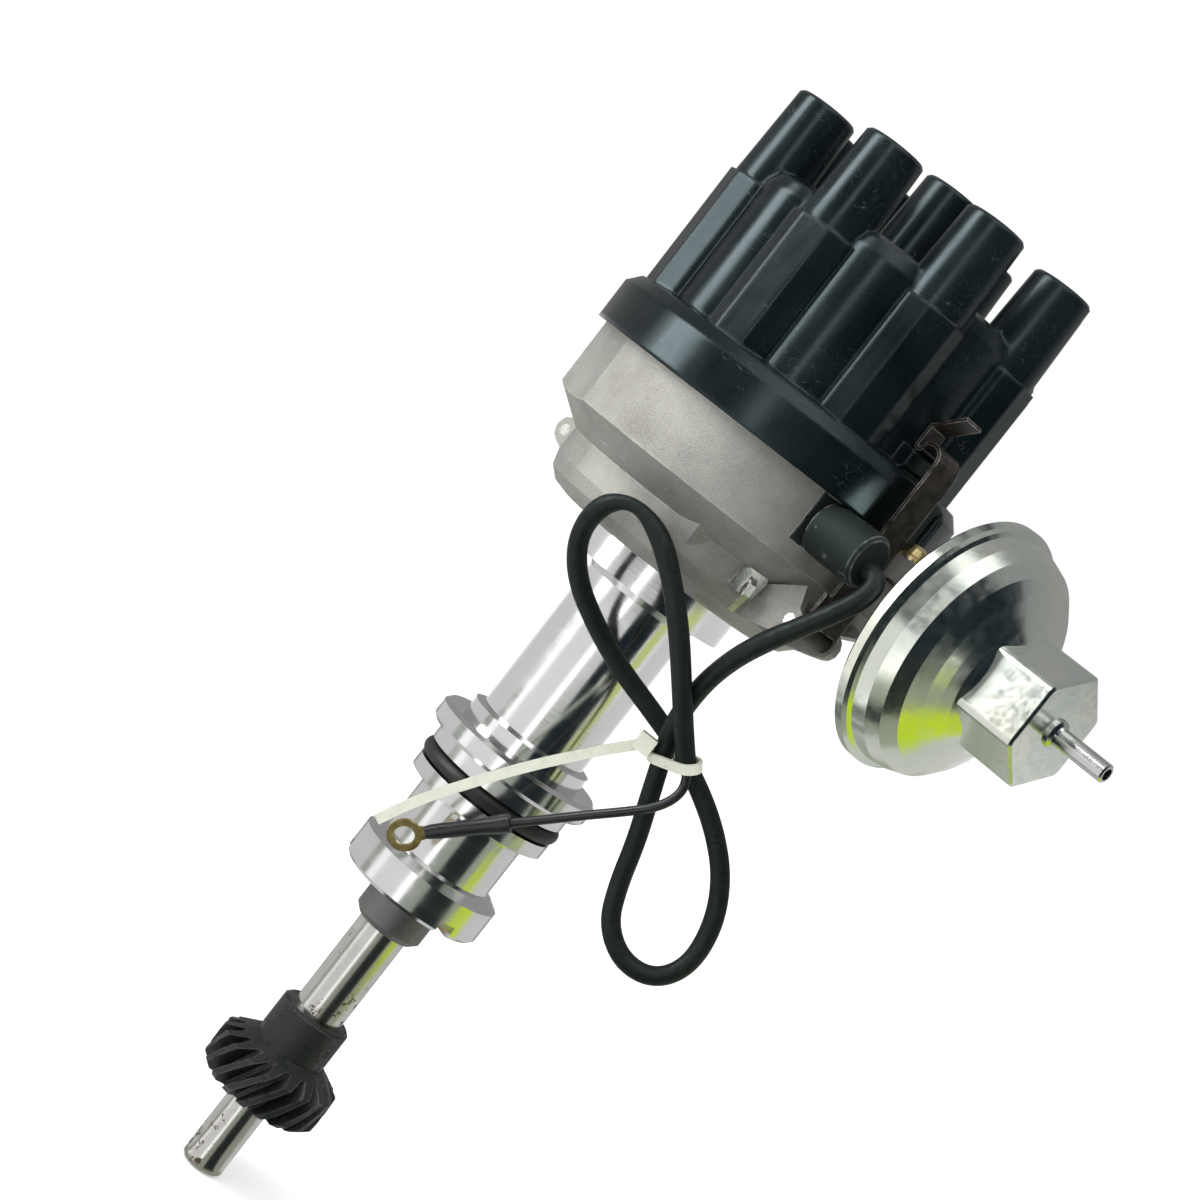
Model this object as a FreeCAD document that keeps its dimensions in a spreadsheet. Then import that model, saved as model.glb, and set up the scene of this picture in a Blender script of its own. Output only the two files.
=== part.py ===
# Ignition distributor with a vacuum advance canister and a low tension lead.
#
# Z runs up the shaft, from the drive gear to the cap. The origin lies on the shaft axis, on the
# underside of the clamp collar, where the distributor sits on the engine block. X points along
# the axis of the vacuum canister. Lengths are in millimetres.
import FreeCAD, Part
import Sketcher
import math
import os

vec = FreeCAD.Vector
ORIGIN = vec(0, 0, 0)
X_AXIS = vec(1, 0, 0)
Z_AXIS = vec(0, 0, 1)

SIZES = [
    # fits and clearances
    ("running_gap", 0.04),
    ("small_gap", 0.3),
    ("turning_gap", 0.8),
    # drive shaft
    ("shaft_radius", 6.745),
    ("pilot_radius", 5.715),
    ("pilot_bottom_z", -127.1),
    ("spindle_radius", 4.6),
    ("drive_hex_flats", 7.94),
    ("drive_hex_depth", 16.0),
    # drive gear
    ("gear_teeth", 18),
    ("gear_outer_radius", 17.0),
    ("gear_root_radius", 12.8),
    ("gear_bottom_z", -104.2),
    ("gear_face_width", 14.6),
    ("gear_twist", 35.5),
    ("gear_hub_radius", 9.7),
    ("gear_hub_length", 11.5),
    ("roll_pin_radius", 1.6),
    # thrust collar under the housing
    ("collar_radius", 9.5),
    ("collar_length", 9.2),
    ("washer_thickness", 1.0),
    # shank of the housing
    ("bore_radius", 9.0),
    ("block_bore_radius", 19.84),
    ("block_fit_gap", 0.09),
    ("shank_radius", 15.2),
    ("foot_bottom_z", -40.1),
    ("foot_chamfer", 1.0),
    ("foot_rim_top_z", -30.8),
    ("foot_shoulder_z", -28.3),
    ("land_chamfer_z", -14.4),
    ("lower_land_z", -12.6),
    ("ring_groove_bottom_z", -8.9),
    ("ring_groove_width", 4.8),
    ("ring_section_radius", 2.1),
    ("ring_outer_radius", 19.74),
    ("oil_slot_width", 4.5),
    ("oil_slot_depth", 3.4),
    ("oil_slot_angle", -17.0),
    ("clamp_radius", 23.1),
    ("clamp_height", 5.9),
    ("clamp_edge", 1.0),
    ("neck_radius", 17.3),
    ("neck_top_z", 10.9),
    ("tube_radius", 15.0),
    ("bushing_length", 25.0),
    # bowl of the housing
    ("turned_collar_radius", 21.9),
    ("turned_collar_z", 55.5),
    ("turned_collar_height", 8.0),
    ("bowl_corner", 7.0),
    ("lower_bowl_radius", 38.3),
    ("lower_bowl_top_z", 77.3),
    ("upper_bowl_radius", 48.0),
    ("upper_bowl_z", 84.4),
    ("bowl_top_z", 102.3),
    ("bowl_wall", 3.2),
    ("bowl_floor", 4.0),
    ("bowl_flat_distance", 46.7),
    ("bowl_flat_angle", -122.7),
    ("boss_angle", -55.0),
    ("ledge_radius", 41.0),
    ("ledge_z", 85.0),
    # clips and their hinges
    ("clip_angle", -8.0),
    ("clip_radius", 51.9),
    ("clip_width", 8.8),
    ("finger_width", 6.4),
    ("clip_foot_width", 13.0),
    ("clip_thickness", 0.9),
    ("clip_foot_z", 84.0),
    ("clip_arch_radius", 3.6),
    ("clip_hook_drop", 2.0),
    ("hinge_z", 74.0),
    ("hinge_radius", 49.4),
    ("hinge_pin_radius", 1.5),
    ("hinge_ear", 2.0),
    ("ear_reach", 3.6),
    ("finger_rise", 8.6),
    ("finger_flare", 7.4),
    # cap
    ("cap_ring_radius", 50.5),
    ("cap_ring_top_z", 113.1),
    ("cap_shoulder_z", 116.3),
    ("cap_shoulder_radius", 47.8),
    ("cap_body_radius", 41.6),
    ("cap_deck_z", 156.0),
    ("cap_arch", 4.6),
    ("cap_wall", 2.6),
    ("panel_circle", 31.2),
    ("panel_radius", 13.2),
    ("cap_ceiling_z", 128.0),
    ("clip_pocket_radius", 47.6),
    ("clip_pocket_width", 24.0),
    ("clip_pocket_angle", -5.5),
    ("lug_radius", 45.6),
    ("lug_width", 12.0),
    ("lug_top_z", 122.3),
    ("tower_count", 8),
    ("tower_angle", 8.7),
    ("tower_circle", 37.9),
    ("tower_rib_radius", 9.3),
    ("tower_rib_half", 8.7),
    ("tower_rib_corner", 4.6),
    ("tower_step_z", 149.5),
    ("tower_root_radius", 8.9),
    ("tower_tip_radius", 8.1),
    ("tower_top_z", 174.0),
    ("centre_tower_top_z", 178.0),
    ("socket_radius", 4.9),
    ("socket_depth", 21.0),
    ("socket_lead_in", 0.7),
    # terminals, brush and rotor
    ("terminal_radius", 2.6),
    ("terminal_bottom_z", 111.4),
    ("terminal_head", 2.2), ("terminal_recess", 0.2),
    ("brush_radius", 2.6),
    ("brush_length", 6.0),
    ("brush_boss_radius", 6.4),
    ("brush_boss_bottom_z", 118.4),
    ("rotor_hub_radius", 11.0),
    ("rotor_bottom_z", 100.6),
    ("rotor_arm_z", 106.0),
    ("rotor_top_z", 112.0),
    ("rotor_arm_length", 29.0),
    ("rotor_arm_width", 15.0),
    ("blade_width", 7.0),
    ("blade_thickness", 1.2),
    ("rotor_gap", 0.9),
    # centrifugal advance
    ("governor_radius", 24.0),
    ("governor_z", 70.3),
    ("governor_thickness", 2.2),
    ("weight_pivot", 17.0),
    ("weight_pin_radius", 2.0),
    ("weight_inner_radius", 11.0),
    ("weight_outer_radius", 23.0),
    ("weight_thickness", 5.4),
    ("weight_start", -14.0),
    ("weight_end", 135.0),
    ("yoke_thickness", 2.0),
    ("yoke_reach", 21.0),
    # breaker cam
    ("cam_sleeve_radius", 7.2),
    ("cam_bottom_z", 91.0),
    ("cam_height", 8.0),
    ("cam_base_radius", 10.2),
    ("cam_lobe_radius", 11.4),
    ("cam_top_z", 104.0),
    # breaker plates and contact set
    ("base_plate_radius", 44.5),
    ("base_plate_hole", 16.0),
    ("base_plate_thickness", 1.4),
    ("plate_radius", 39.0),
    ("plate_hole", 13.0),
    ("plate_thickness", 1.5),
    ("plate_collar", 2.0),
    ("plate_screw_circle", 42.6),
    ("plate_screw_radius", 1.2),
    ("plate_screw_head", 1.9),
    ("arm_pivot_x", -24.0),
    ("arm_pivot_y", -15.0),
    ("arm_pin_radius", 1.6),
    ("arm_z", 93.0),
    ("arm_height", 4.0),
    ("condenser_radius", 5.8),
    ("condenser_length", 20.0),
    # vacuum canister
    ("canister_y", 8.0),
    ("canister_z", 91.0),
    ("canister_back_x", 60.0),
    ("canister_rim_x", 69.6),
    ("canister_rim_width", 3.6),
    ("canister_radius", 33.2),
    ("canister_wall", 1.2),
    ("nose_flats", 27.5),
    ("nose_start_x", 91.0),
    ("nose_end_x", 106.5),
    ("nose_edge", 2.6),
    ("nipple_radius", 2.38),
    ("nipple_bore", 1.5),
    ("nipple_length", 15.9),
    ("nipple_collar_radius", 3.7),
    ("diaphragm_travel", 4.5),
    ("rod_width", 5.0),
    ("rod_thickness", 1.8),
    ("link_pin_x", -2.24),
    ("link_pin_y", 25.9),
    ("link_pin_radius", 1.5),
    # canister bracket
    ("bracket_near_y", 0.4),
    ("bracket_depth", 15.6),
    ("bracket_top_z", 101.6),
    ("bracket_block", 6.2),
    ("bracket_arm_z", 81.6),
    ("bracket_arm", 3.0),
    ("bracket_screw_x", 51.8),
    ("bracket_screw_y", 3.4),
    ("bracket_screw_head", 3.0),
    ("bracket_screw_radius", 1.6),
    # grommet
    ("grommet_y", -20.0),
    ("grommet_z", 95.4),
    ("grommet_radius", 6.8),
    ("grommet_end_x", 58.4),
    ("grommet_from", -32.3),
    ("grommet_to", -16.5),
    ("grommet_bottom_z", 88.8),
    ("grommet_depth", 5.0),
    # earth tab under the bowl
    ("tab_thickness", 0.8),
    ("tongue_width", 1.7),
    ("tab_angle", -27.5),
    # lead
    ("loom_radius", 2.4),
    ("wire_radius", 1.15),
    ("sleeve_radius", 1.85),
    ("eyelet_radius", 4.2),
    ("eyelet_hole", 2.5),
    ("eyelet_thickness", 0.9),
    ("tie_width", 2.5),
    ("tie_thickness", 1.1),
]

# Middle line of the black loom, from the grommet to its open end under the cable tie.
LOOM_ROUTE = [
    (58.4, -20.0, 94.0), (62.8, -20.0, 94.0), (63.8, -21.4, 88.8), (60.8, -22.6, 82.0),
    (56.2, -23.0, 74.6), (51.0, -22.6, 67.2), (45.8, -20.8, 59.0), (41.2, -17.3, 49.6), (38.6, -13.0, 38.2),
    (40.1, -9.5, 29.1), (42.4, -6.6, 19.7), (44.9, -3.6, 9.8), (46.8, -1.0, -1.1),
    (50.0, 1.3, -10.1), (56.6, 6.0, -15.1), (63.7, 11.0, -13.6), (66.8, 14.5, -6.0),
    (65.0, 14.5, 5.2), (60.6, 11.3, 15.2), (54.1, 6.6, 22.8), (46.8, 1.4, 28.5),
    (37.9, -3.6, 33.1), (28.9, -10.1, 36.5), (20.2, -17.5, 39.7), (12.0, -25.8, 44.7),
    (5.7, -34.0, 51.0), (2.9, -39.7, 59.2), (5.3, -42.9, 68.8), (12.1, -41.7, 73.7),
    (20.4, -37.6, 71.3), (27.2, -33.0, 64.9), (34.0, -27.5, 56.4), (40.2, -21.8, 46.6),
    (44.4, -14.6, 37.4), (47.0, -9.6, 31.8),
]

# Middle line of the thin wire, from the end of the loom to its ring terminal.
WIRE_ROUTE = [
    (47.0, -9.6, 31.8), (48.0, -7.7, 29.6), (49.2, -8.0, 25.6), (48.0, -10.2, 20.6), (43.3, -12.6, 15.0),
    (36.6, -15.2, 8.1), (29.6, -17.8, 0.6), (22.9, -21.3, -6.8), (17.0, -25.3, -13.9),
]


class Sizes:
    """The values of the sheet as plain attributes."""

    def __init__(self, sheet):
        for alias, _ in SIZES:
            setattr(self, alias, float(sheet.get(alias)))
        self.bowl_inside_z = self.turned_collar_z + self.turned_collar_height + self.bowl_floor


def make_sheet(doc):
    """Spreadsheet with one row for each driving dimension."""
    sheet = doc.addObject("Spreadsheet::Sheet", "Sizes")
    for row, (alias, value) in enumerate(SIZES, start=1):
        sheet.set("A%d" % row, alias)
        sheet.set("B%d" % row, str(value))
        sheet.setAlias("B%d" % row, alias)
    doc.recompute()
    return sheet


# Height of the bowl's floor inside, as an expression of the sheet.
BOWL_INSIDE = "(Sizes.turned_collar_z + Sizes.turned_collar_height + Sizes.bowl_floor)"


# Heights of the roll pins of the gear and of the thrust collar.
GEAR_PIN_Z = "(Sizes.gear_bottom_z + Sizes.gear_face_width + Sizes.gear_hub_length / 2)"
COLLAR_PIN_Z = "(Sizes.foot_bottom_z - Sizes.washer_thickness - 0.1 - Sizes.collar_length / 2)"


def cell(name):
    """Expression that reads one value of the sheet."""
    return "Sizes." + name


def add_feature(doc, label, shape, placement=None):
    """Sub-part whose shape is set from Part's own functions."""
    part = doc.addObject("Part::Feature", label)
    part.Label = label
    part.Shape = shape
    if placement is not None:
        part.Placement = placement
    return part


def polar(radius, degrees, height=0.0):
    """Point at a radius and an angle about the shaft axis."""
    turn = math.radians(degrees)
    return vec(radius * math.cos(turn), radius * math.sin(turn), height)


def turned(corners):
    """Solid of revolution about Z from its (radius, height) corners."""
    points = [vec(radius, 0, height) for radius, height in corners]
    outline = Part.makePolygon(points + points[:1])
    return Part.Face(outline).revolve(ORIGIN, Z_AXIS, 360)


def ring(outer, inner, bottom, top):
    """Plain ring or sleeve about Z."""
    return turned([(inner, bottom), (outer, bottom), (outer, top), (inner, top)])


def prism(points, height):
    """Upright prism on a flat outline."""
    face = Part.Face(Part.makePolygon(points + points[:1]))
    return face.extrude(vec(0, 0, height))


def block(x_from, x_to, y_from, y_to, z_from, z_to):
    """Box between two corners."""
    return Part.makeBox(x_to - x_from, y_to - y_from, z_to - z_from, vec(x_from, y_from, z_from))


def along_x(shape, y, z):
    """Turns a shape made about Z so that its axis runs along X through (y, z)."""
    placed = shape.copy()
    placed.rotate(ORIGIN, vec(0, 1, 0), 90)
    placed.translate(vec(0, y, z))
    return placed


def in_radial_plane(outline, width, degrees):
    """Extrudes an outline of (radius, height) points sideways and turns it about Z."""
    points = [vec(radius, -width / 2, height) for radius, height in outline]
    solid = Part.Face(Part.makePolygon(points + points[:1])).extrude(vec(0, width, 0))
    solid.rotate(ORIGIN, Z_AXIS, degrees)
    return solid


def strip_outline(path, thickness):
    """Closed outline of a bent strip, from the middle line of its thickness."""
    left = []
    right = []
    for index, (x, y) in enumerate(path):
        before = path[max(index - 1, 0)]
        after = path[min(index + 1, len(path) - 1)]
        back = vec(x - before[0], y - before[1], 0)
        ahead = vec(after[0] - x, after[1] - y, 0)
        if back.Length > 0:
            back.normalize()
        if ahead.Length > 0:
            ahead.normalize()
        middle = back + ahead
        middle.normalize()
        side = vec(-middle.y, middle.x, 0)
        spread = thickness / 2 / max(side.dot(vec(-ahead.y, ahead.x, 0)), 0.5) if ahead.Length > 0 \
            else thickness / 2
        left.append((x + side.x * spread, y + side.y * spread))
        right.append((x - side.x * spread, y - side.y * spread))
    return left + right[::-1]


def arc_points(centre, radius, start, end, count):
    """Points on an arc in a plane, from one angle to another."""
    points = []
    for step in range(count):
        turn = math.radians(start + (end - start) * step / (count - 1))
        points.append((centre[0] + radius * math.cos(turn), centre[1] + radius * math.sin(turn)))
    return points


def revolved_body(doc, label, corners):
    """PartDesign body turned from a sketch whose corners are bound to the sheet.

    Each corner is a pair of expressions, its radius and its height. An empty radius lies on the
    axis and an empty height lies on the base plane.
    """
    body = doc.addObject("PartDesign::Body", label)
    body.Label = label
    plane = next(item for item in body.Origin.OriginFeatures if item.Role == "XZ_Plane")
    sketch = body.newObject("Sketcher::SketchObject", label + "_outline")
    sketch.AttachmentSupport = [(plane, "")]
    sketch.MapMode = "FlatFace"
    count = len(corners)
    start = [polar(10, 360 * index / count) + vec(20, 0, 0) for index in range(count)]
    for index in range(count):
        line = Part.LineSegment(start[index], start[(index + 1) % count])
        sketch.addGeometry(line, False)
    for index in range(count):
        sketch.addConstraint(Sketcher.Constraint("Coincident", index, 2, (index + 1) % count, 1))
    for index, (radius, height) in enumerate(corners):
        if radius:
            which = sketch.addConstraint(
                Sketcher.Constraint("DistanceX", -1, 1, index, 1, start[index].x))
            sketch.setExpression("Constraints[%d]" % which, radius)
        else:
            sketch.addConstraint(Sketcher.Constraint("PointOnObject", index, 1, -2))
        if height:
            which = sketch.addConstraint(
                Sketcher.Constraint("DistanceY", -1, 1, index, 1, start[index].y or 1.0))
            sketch.setExpression("Constraints[%d]" % which, height)
        else:
            sketch.addConstraint(Sketcher.Constraint("PointOnObject", index, 1, -1))
    turn = body.newObject("PartDesign::Revolution", label + "_turned")
    turn.Profile = sketch
    turn.ReferenceAxis = (sketch, ["V_Axis"])
    turn.Angle = 360
    body.Tip = turn
    return body


def make_shaft(doc):
    """Stepped drive shaft: pilot below the gear, main journal and the thin upper spindle."""
    gear_bottom = cell("gear_bottom_z")
    governor_top = cell("governor_z") + " + " + cell("governor_thickness")
    body = revolved_body(doc, "shaft", [
        ("", cell("pilot_bottom_z")),
        (cell("pilot_radius") + " - 0.6", cell("pilot_bottom_z")),
        (cell("pilot_radius"), cell("pilot_bottom_z") + " + 0.6"),
        (cell("pilot_radius"), gear_bottom),
        (cell("shaft_radius"), gear_bottom),
        (cell("shaft_radius"), governor_top),
        (cell("spindle_radius"), governor_top),
        (cell("spindle_radius"), cell("cam_top_z") + " - 0.5"),
        ("", cell("cam_top_z") + " - 0.5"),
    ])
    doc.recompute()
    plane = next(item for item in body.Origin.OriginFeatures if item.Role == "XY_Plane")
    sketch = body.newObject("Sketcher::SketchObject", "drive_hex_outline")
    sketch.AttachmentSupport = [(plane, "")]
    sketch.MapMode = "FlatFace"
    sketch.AttachmentOffset = FreeCAD.Placement(vec(0, 0, -127.1), FreeCAD.Rotation())
    sketch.setExpression("AttachmentOffset.Base.z", cell("pilot_bottom_z"))
    corners = [polar(4.58, 60 * index) for index in range(6)]
    for index in range(6):
        sketch.addGeometry(Part.LineSegment(corners[index], corners[(index + 1) % 6]), False)
    sketch.addGeometry(Part.Circle(ORIGIN, Z_AXIS, 4.58), True)
    for index in range(6):
        sketch.addConstraint(Sketcher.Constraint("Coincident", index, 2, (index + 1) % 6, 1))
        sketch.addConstraint(Sketcher.Constraint("PointOnObject", index, 1, 6))
        if index:
            sketch.addConstraint(Sketcher.Constraint("Equal", 0, index))
    sketch.addConstraint(Sketcher.Constraint("Coincident", 6, 3, -1, 1))
    sketch.addConstraint(Sketcher.Constraint("PointOnObject", 0, 1, -1))
    which = sketch.addConstraint(Sketcher.Constraint("Radius", 6, 4.58))
    sketch.setExpression("Constraints[%d]" % which, cell("drive_hex_flats") + " / 2 / cos(30 deg)")
    pocket = body.newObject("PartDesign::Pocket", "drive_hex")
    pocket.Profile = sketch
    pocket.Reversed = True
    pocket.setExpression("Length", cell("drive_hex_depth"))
    body.Tip = pocket
    doc.recompute()
    side = next(item for item in body.Origin.OriginFeatures if item.Role == "YZ_Plane")
    holes = body.newObject("Sketcher::SketchObject", "roll_pin_circles")
    holes.AttachmentSupport = [(side, "")]
    holes.MapMode = "FlatFace"
    for index, height in enumerate((GEAR_PIN_Z, COLLAR_PIN_Z)):
        holes.addGeometry(Part.Circle(vec(0, -60 - 20 * index, 0), Z_AXIS, 1.6), False)
        holes.addConstraint(Sketcher.Constraint("PointOnObject", index, 3, -2))
        which = holes.addConstraint(Sketcher.Constraint("DistanceY", -1, 1, index, 3, -60.0))
        holes.setExpression("Constraints[%d]" % which, height)
        which = holes.addConstraint(Sketcher.Constraint("Radius", index, 1.6))
        holes.setExpression("Constraints[%d]" % which, cell("roll_pin_radius"))
    cross = body.newObject("PartDesign::Pocket", "roll_pin_holes")
    cross.Profile = holes
    cross.Midplane = True
    cross.setExpression("Length", "3 * " + cell("shaft_radius"))
    body.Tip = cross
    return body


def make_gear(doc, s):
    """Helical drive gear: twisted tooth outline, coned ends and a plain hub above."""
    teeth = int(s.gear_teeth)
    pitch = 360.0 / teeth
    shares = [(-0.36, 0), (-0.17, 1), (0.17, 1), (0.36, 0)]
    outlines = []
    for share in (0, 0.25, 0.5, 0.75, 1):
        height = s.gear_bottom_z + s.gear_face_width * share
        points = []
        for tooth in range(teeth):
            for offset, high in shares:
                radius = s.gear_outer_radius if high else s.gear_root_radius
                points.append(polar(radius, pitch * (tooth + offset) + s.gear_twist * share, height))
        outlines.append(Part.makePolygon(points + points[:1]))
    teeth_solid = Part.makeLoft(outlines, True, True)
    top = s.gear_bottom_z + s.gear_face_width
    middle = (s.gear_outer_radius + s.gear_root_radius) / 2
    rim = s.gear_outer_radius + s.small_gap
    edge = s.gear_outer_radius - s.gear_root_radius
    blank = turned([
        (0, s.gear_bottom_z), (middle, s.gear_bottom_z), (rim, s.gear_bottom_z + edge / 2),
        (rim, top - edge), (s.gear_hub_radius, top + s.small_gap), (0, top + s.small_gap)])
    hub_top = top + s.gear_hub_length
    chamfer = s.roll_pin_radius / 2
    hub = turned([
        (0, top - edge), (s.gear_hub_radius, top - edge), (s.gear_hub_radius, hub_top - chamfer),
        (s.gear_hub_radius - chamfer, hub_top), (0, hub_top)])
    gear = teeth_solid.common(blank).fuse(hub)
    bore = Part.makeCylinder(s.shaft_radius, hub_top - s.gear_bottom_z,
                             vec(0, 0, s.gear_bottom_z))
    pin = Part.makeCylinder(s.roll_pin_radius, 2 * s.gear_outer_radius,
                            vec(-s.gear_outer_radius, 0, top + s.gear_hub_length / 2), X_AXIS)
    gear = gear.cut(bore).cut(pin).removeSplitter()
    return add_feature(doc, "drive_gear", gear)


def make_roll_pins(doc):
    """Spring pins that lock the gear hub and the thrust collar to the shaft."""
    pins = []
    heights = {"gear_pin": GEAR_PIN_Z, "collar_pin": COLLAR_PIN_Z}
    reach = {"gear_pin": cell("gear_hub_radius"), "collar_pin": cell("collar_radius")}
    for label, height in heights.items():
        pin = doc.addObject("Part::Cylinder", label)
        pin.Label = label
        pin.setExpression("Radius", cell("roll_pin_radius"))
        pin.setExpression("Height", "2 * " + reach[label])
        pin.Placement = FreeCAD.Placement(ORIGIN, FreeCAD.Rotation(vec(0, 1, 0), 90))
        pin.setExpression("Placement.Base.x", "-" + reach[label])
        pin.setExpression("Placement.Base.z", height)
        pins.append(pin)
    return pins


def make_shaft_bores(shape, s, height):
    """Cuts the cross hole of a roll pin at a height."""
    reach = 2 * s.gear_outer_radius
    return shape.cut(Part.makeCylinder(s.roll_pin_radius, reach, vec(-reach / 2, 0, height), X_AXIS))


def make_thrust_collar(doc, s):
    """Sintered collar pinned to the shaft, and the washer that runs on the housing's foot."""
    top = s.foot_bottom_z - s.washer_thickness - 0.1
    bottom = top - s.collar_length
    lead = 1.6
    collar = turned([
        (s.shaft_radius, bottom), (s.collar_radius - lead, bottom),
        (s.collar_radius, bottom + lead), (s.collar_radius, top - lead / 2),
        (s.collar_radius - lead / 4, top), (s.shaft_radius, top)])
    collar = make_shaft_bores(collar, s, (top + bottom) / 2)
    washer = revolved_body(doc, "thrust_washer", [
        (cell("shaft_radius") + " + " + cell("running_gap"),
         cell("foot_bottom_z") + " - " + cell("washer_thickness") + " - 0.05"),
        (cell("collar_radius") + " + 2",
         cell("foot_bottom_z") + " - " + cell("washer_thickness") + " - 0.05"),
        (cell("collar_radius") + " + 2", cell("foot_bottom_z") + " - 0.05"),
        (cell("shaft_radius") + " + " + cell("running_gap"), cell("foot_bottom_z") + " - 0.05"),
    ])
    return add_feature(doc, "thrust_collar", collar), washer


def make_bushings(doc):
    """Two bronze bushings pressed into the bore of the housing."""
    spans = {
        "lower_bushing": (cell("foot_bottom_z"),
                          cell("foot_bottom_z") + " + " + cell("bushing_length")),
        "upper_bushing": (BOWL_INSIDE + " - " + cell("bushing_length"), BOWL_INSIDE),
    }
    inner = cell("shaft_radius") + " + " + cell("running_gap")
    outer = cell("bore_radius")
    return [revolved_body(doc, label, [(inner, low), (outer, low), (outer, high), (inner, high)])
            for label, (low, high) in spans.items()]


def housing_outline(s):
    """Outer outline of the casting from its foot to the rim of the bowl."""
    pilot = s.block_bore_radius - s.block_fit_gap
    groove_bottom = s.ring_outer_radius - 2 * s.ring_section_radius
    groove_top = s.ring_groove_bottom_z + s.ring_groove_width
    collar_top = s.turned_collar_z + s.turned_collar_height
    corner = arc_points((s.lower_bowl_radius - s.bowl_corner, collar_top + s.bowl_corner),
                        s.bowl_corner, -90, 0, 4)
    return [
        (pilot - s.foot_chamfer, s.foot_bottom_z), (pilot, s.foot_bottom_z + s.foot_chamfer),
        (pilot, s.foot_rim_top_z), (s.shank_radius + 1.6, s.foot_shoulder_z - 0.6),
        (s.shank_radius, s.foot_shoulder_z), (s.shank_radius, s.land_chamfer_z),
        (pilot, s.lower_land_z), (pilot, s.ring_groove_bottom_z),
        (groove_bottom, s.ring_groove_bottom_z), (groove_bottom, groove_top),
        (pilot, groove_top), (pilot, 0), (s.clamp_radius - s.clamp_edge, 0),
        (s.clamp_radius, s.clamp_edge), (s.clamp_radius, s.clamp_height - s.clamp_edge),
        (s.clamp_radius - s.clamp_edge, s.clamp_height), (s.neck_radius, s.clamp_height),
        (s.neck_radius, s.neck_top_z - 0.8), (s.tube_radius, s.neck_top_z),
        (s.tube_radius, s.turned_collar_z - 2.2), (s.tube_radius + 1.4, s.turned_collar_z),
        (s.turned_collar_radius, s.turned_collar_z), (s.turned_collar_radius, collar_top),
    ] + corner + [
        (s.lower_bowl_radius, s.lower_bowl_top_z), (s.upper_bowl_radius, s.upper_bowl_z),
        (s.upper_bowl_radius, s.bowl_top_z),
    ]


def make_housing(doc, s):
    """Die cast housing: shank, clamp collar and the open bowl with its ledge and clip ears."""
    outline = housing_outline(s)
    inner_wall = s.upper_bowl_radius - s.bowl_wall
    lower_wall = s.lower_bowl_radius - s.bowl_wall
    inside = [
        (inner_wall, s.bowl_top_z), (inner_wall, s.ledge_z), (s.ledge_radius, s.ledge_z),
        (s.ledge_radius, s.upper_bowl_z - 1.2), (lower_wall, s.lower_bowl_top_z),
        (lower_wall, s.bowl_inside_z), (s.bore_radius, s.bowl_inside_z),
        (s.bore_radius, s.foot_bottom_z)]
    casting = turned(outline + inside)
    ears = [clip_ears(s, turn) for turn in (0, 180)]
    casting = casting.fuse(ears + [cast_boss(s)])
    cuts = [oil_slot(s, index) for index in range(3)]
    cuts.append(bowl_flat(s))
    cuts += [hinge_bore(s, turn) for turn in (0, 180)]
    cuts += [roll_clearance(s, turn) for turn in (0, 180)]
    cuts += [screw_bore(s, turn) for turn in (0, 180)]
    cuts.append(rod_slot(s))
    cuts.append(grommet_notch(s))
    return add_feature(doc, "housing", casting.cut(cuts).removeSplitter())


def oil_slot(s, index):
    """One of the three slots across the underside of the foot."""
    slot = block(s.bore_radius + 3, s.block_bore_radius + 1, -s.oil_slot_width / 2,
                 s.oil_slot_width / 2, s.foot_bottom_z - 1, s.foot_bottom_z + s.oil_slot_depth)
    slot.rotate(ORIGIN, Z_AXIS, s.oil_slot_angle + 120 * index)
    return slot


def bowl_flat(s):
    """Cutter for the flat on the flank of the upper bowl."""
    cutter = block(s.bowl_flat_distance, s.upper_bowl_radius + 4, -20, 20,
                   s.lower_bowl_top_z, s.bowl_top_z)
    cutter.rotate(ORIGIN, Z_AXIS, s.bowl_flat_angle)
    return cutter


def cast_boss(s):
    """Low ridge shaped boss on the flank of the lower bowl, up to the slope above it."""
    face = s.lower_bowl_radius - 1.2
    ridge = s.lower_bowl_radius + 1.9
    foot = s.turned_collar_z + s.turned_collar_height + s.bowl_corner
    rows = []
    for x, half, z in ((face, 7.2, foot), (face, 7.2, s.lower_bowl_top_z + 1.4)):
        rows.append([vec(x, -half, z), vec(ridge if z > foot else face + 0.4, 0.6, z),
                     vec(x, half, z), vec(x - 2, 0, z)])
    sides = [Part.makePolygon(row + row[:1]) for row in rows]
    boss = Part.makeLoft(sides, True, True)
    boss.rotate(ORIGIN, Z_AXIS, s.boss_angle)
    return boss


def clip_ears(s, turn):
    """Pair of ears under the bowl that carry a clip's hinge pin."""
    reach = s.hinge_radius + s.ear_reach
    outline = [(s.lower_bowl_radius - 2, s.hinge_z - 7.2), (s.hinge_radius - 3, s.hinge_z - 4.6)]
    outline += arc_points((s.hinge_radius, s.hinge_z), s.ear_reach, -80, 80, 6)
    outline += [(reach - 5.4, s.hinge_z + 8.6), (s.lower_bowl_radius - 2, s.lower_bowl_top_z - 1)]
    width = s.clip_foot_width + 2 * s.small_gap + 2 * s.hinge_ear
    solid = in_radial_plane(outline, width, s.clip_angle + turn)
    gap = in_radial_plane([(s.lower_bowl_radius + 1.2, s.hinge_z - 12),
                           (reach + 2, s.hinge_z - 12), (reach + 2, s.hinge_z + 14),
                           (s.lower_bowl_radius + 1.2, s.hinge_z + 14)],
                          s.clip_foot_width + 2 * s.small_gap, s.clip_angle + turn)
    return solid.cut(gap)


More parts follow.
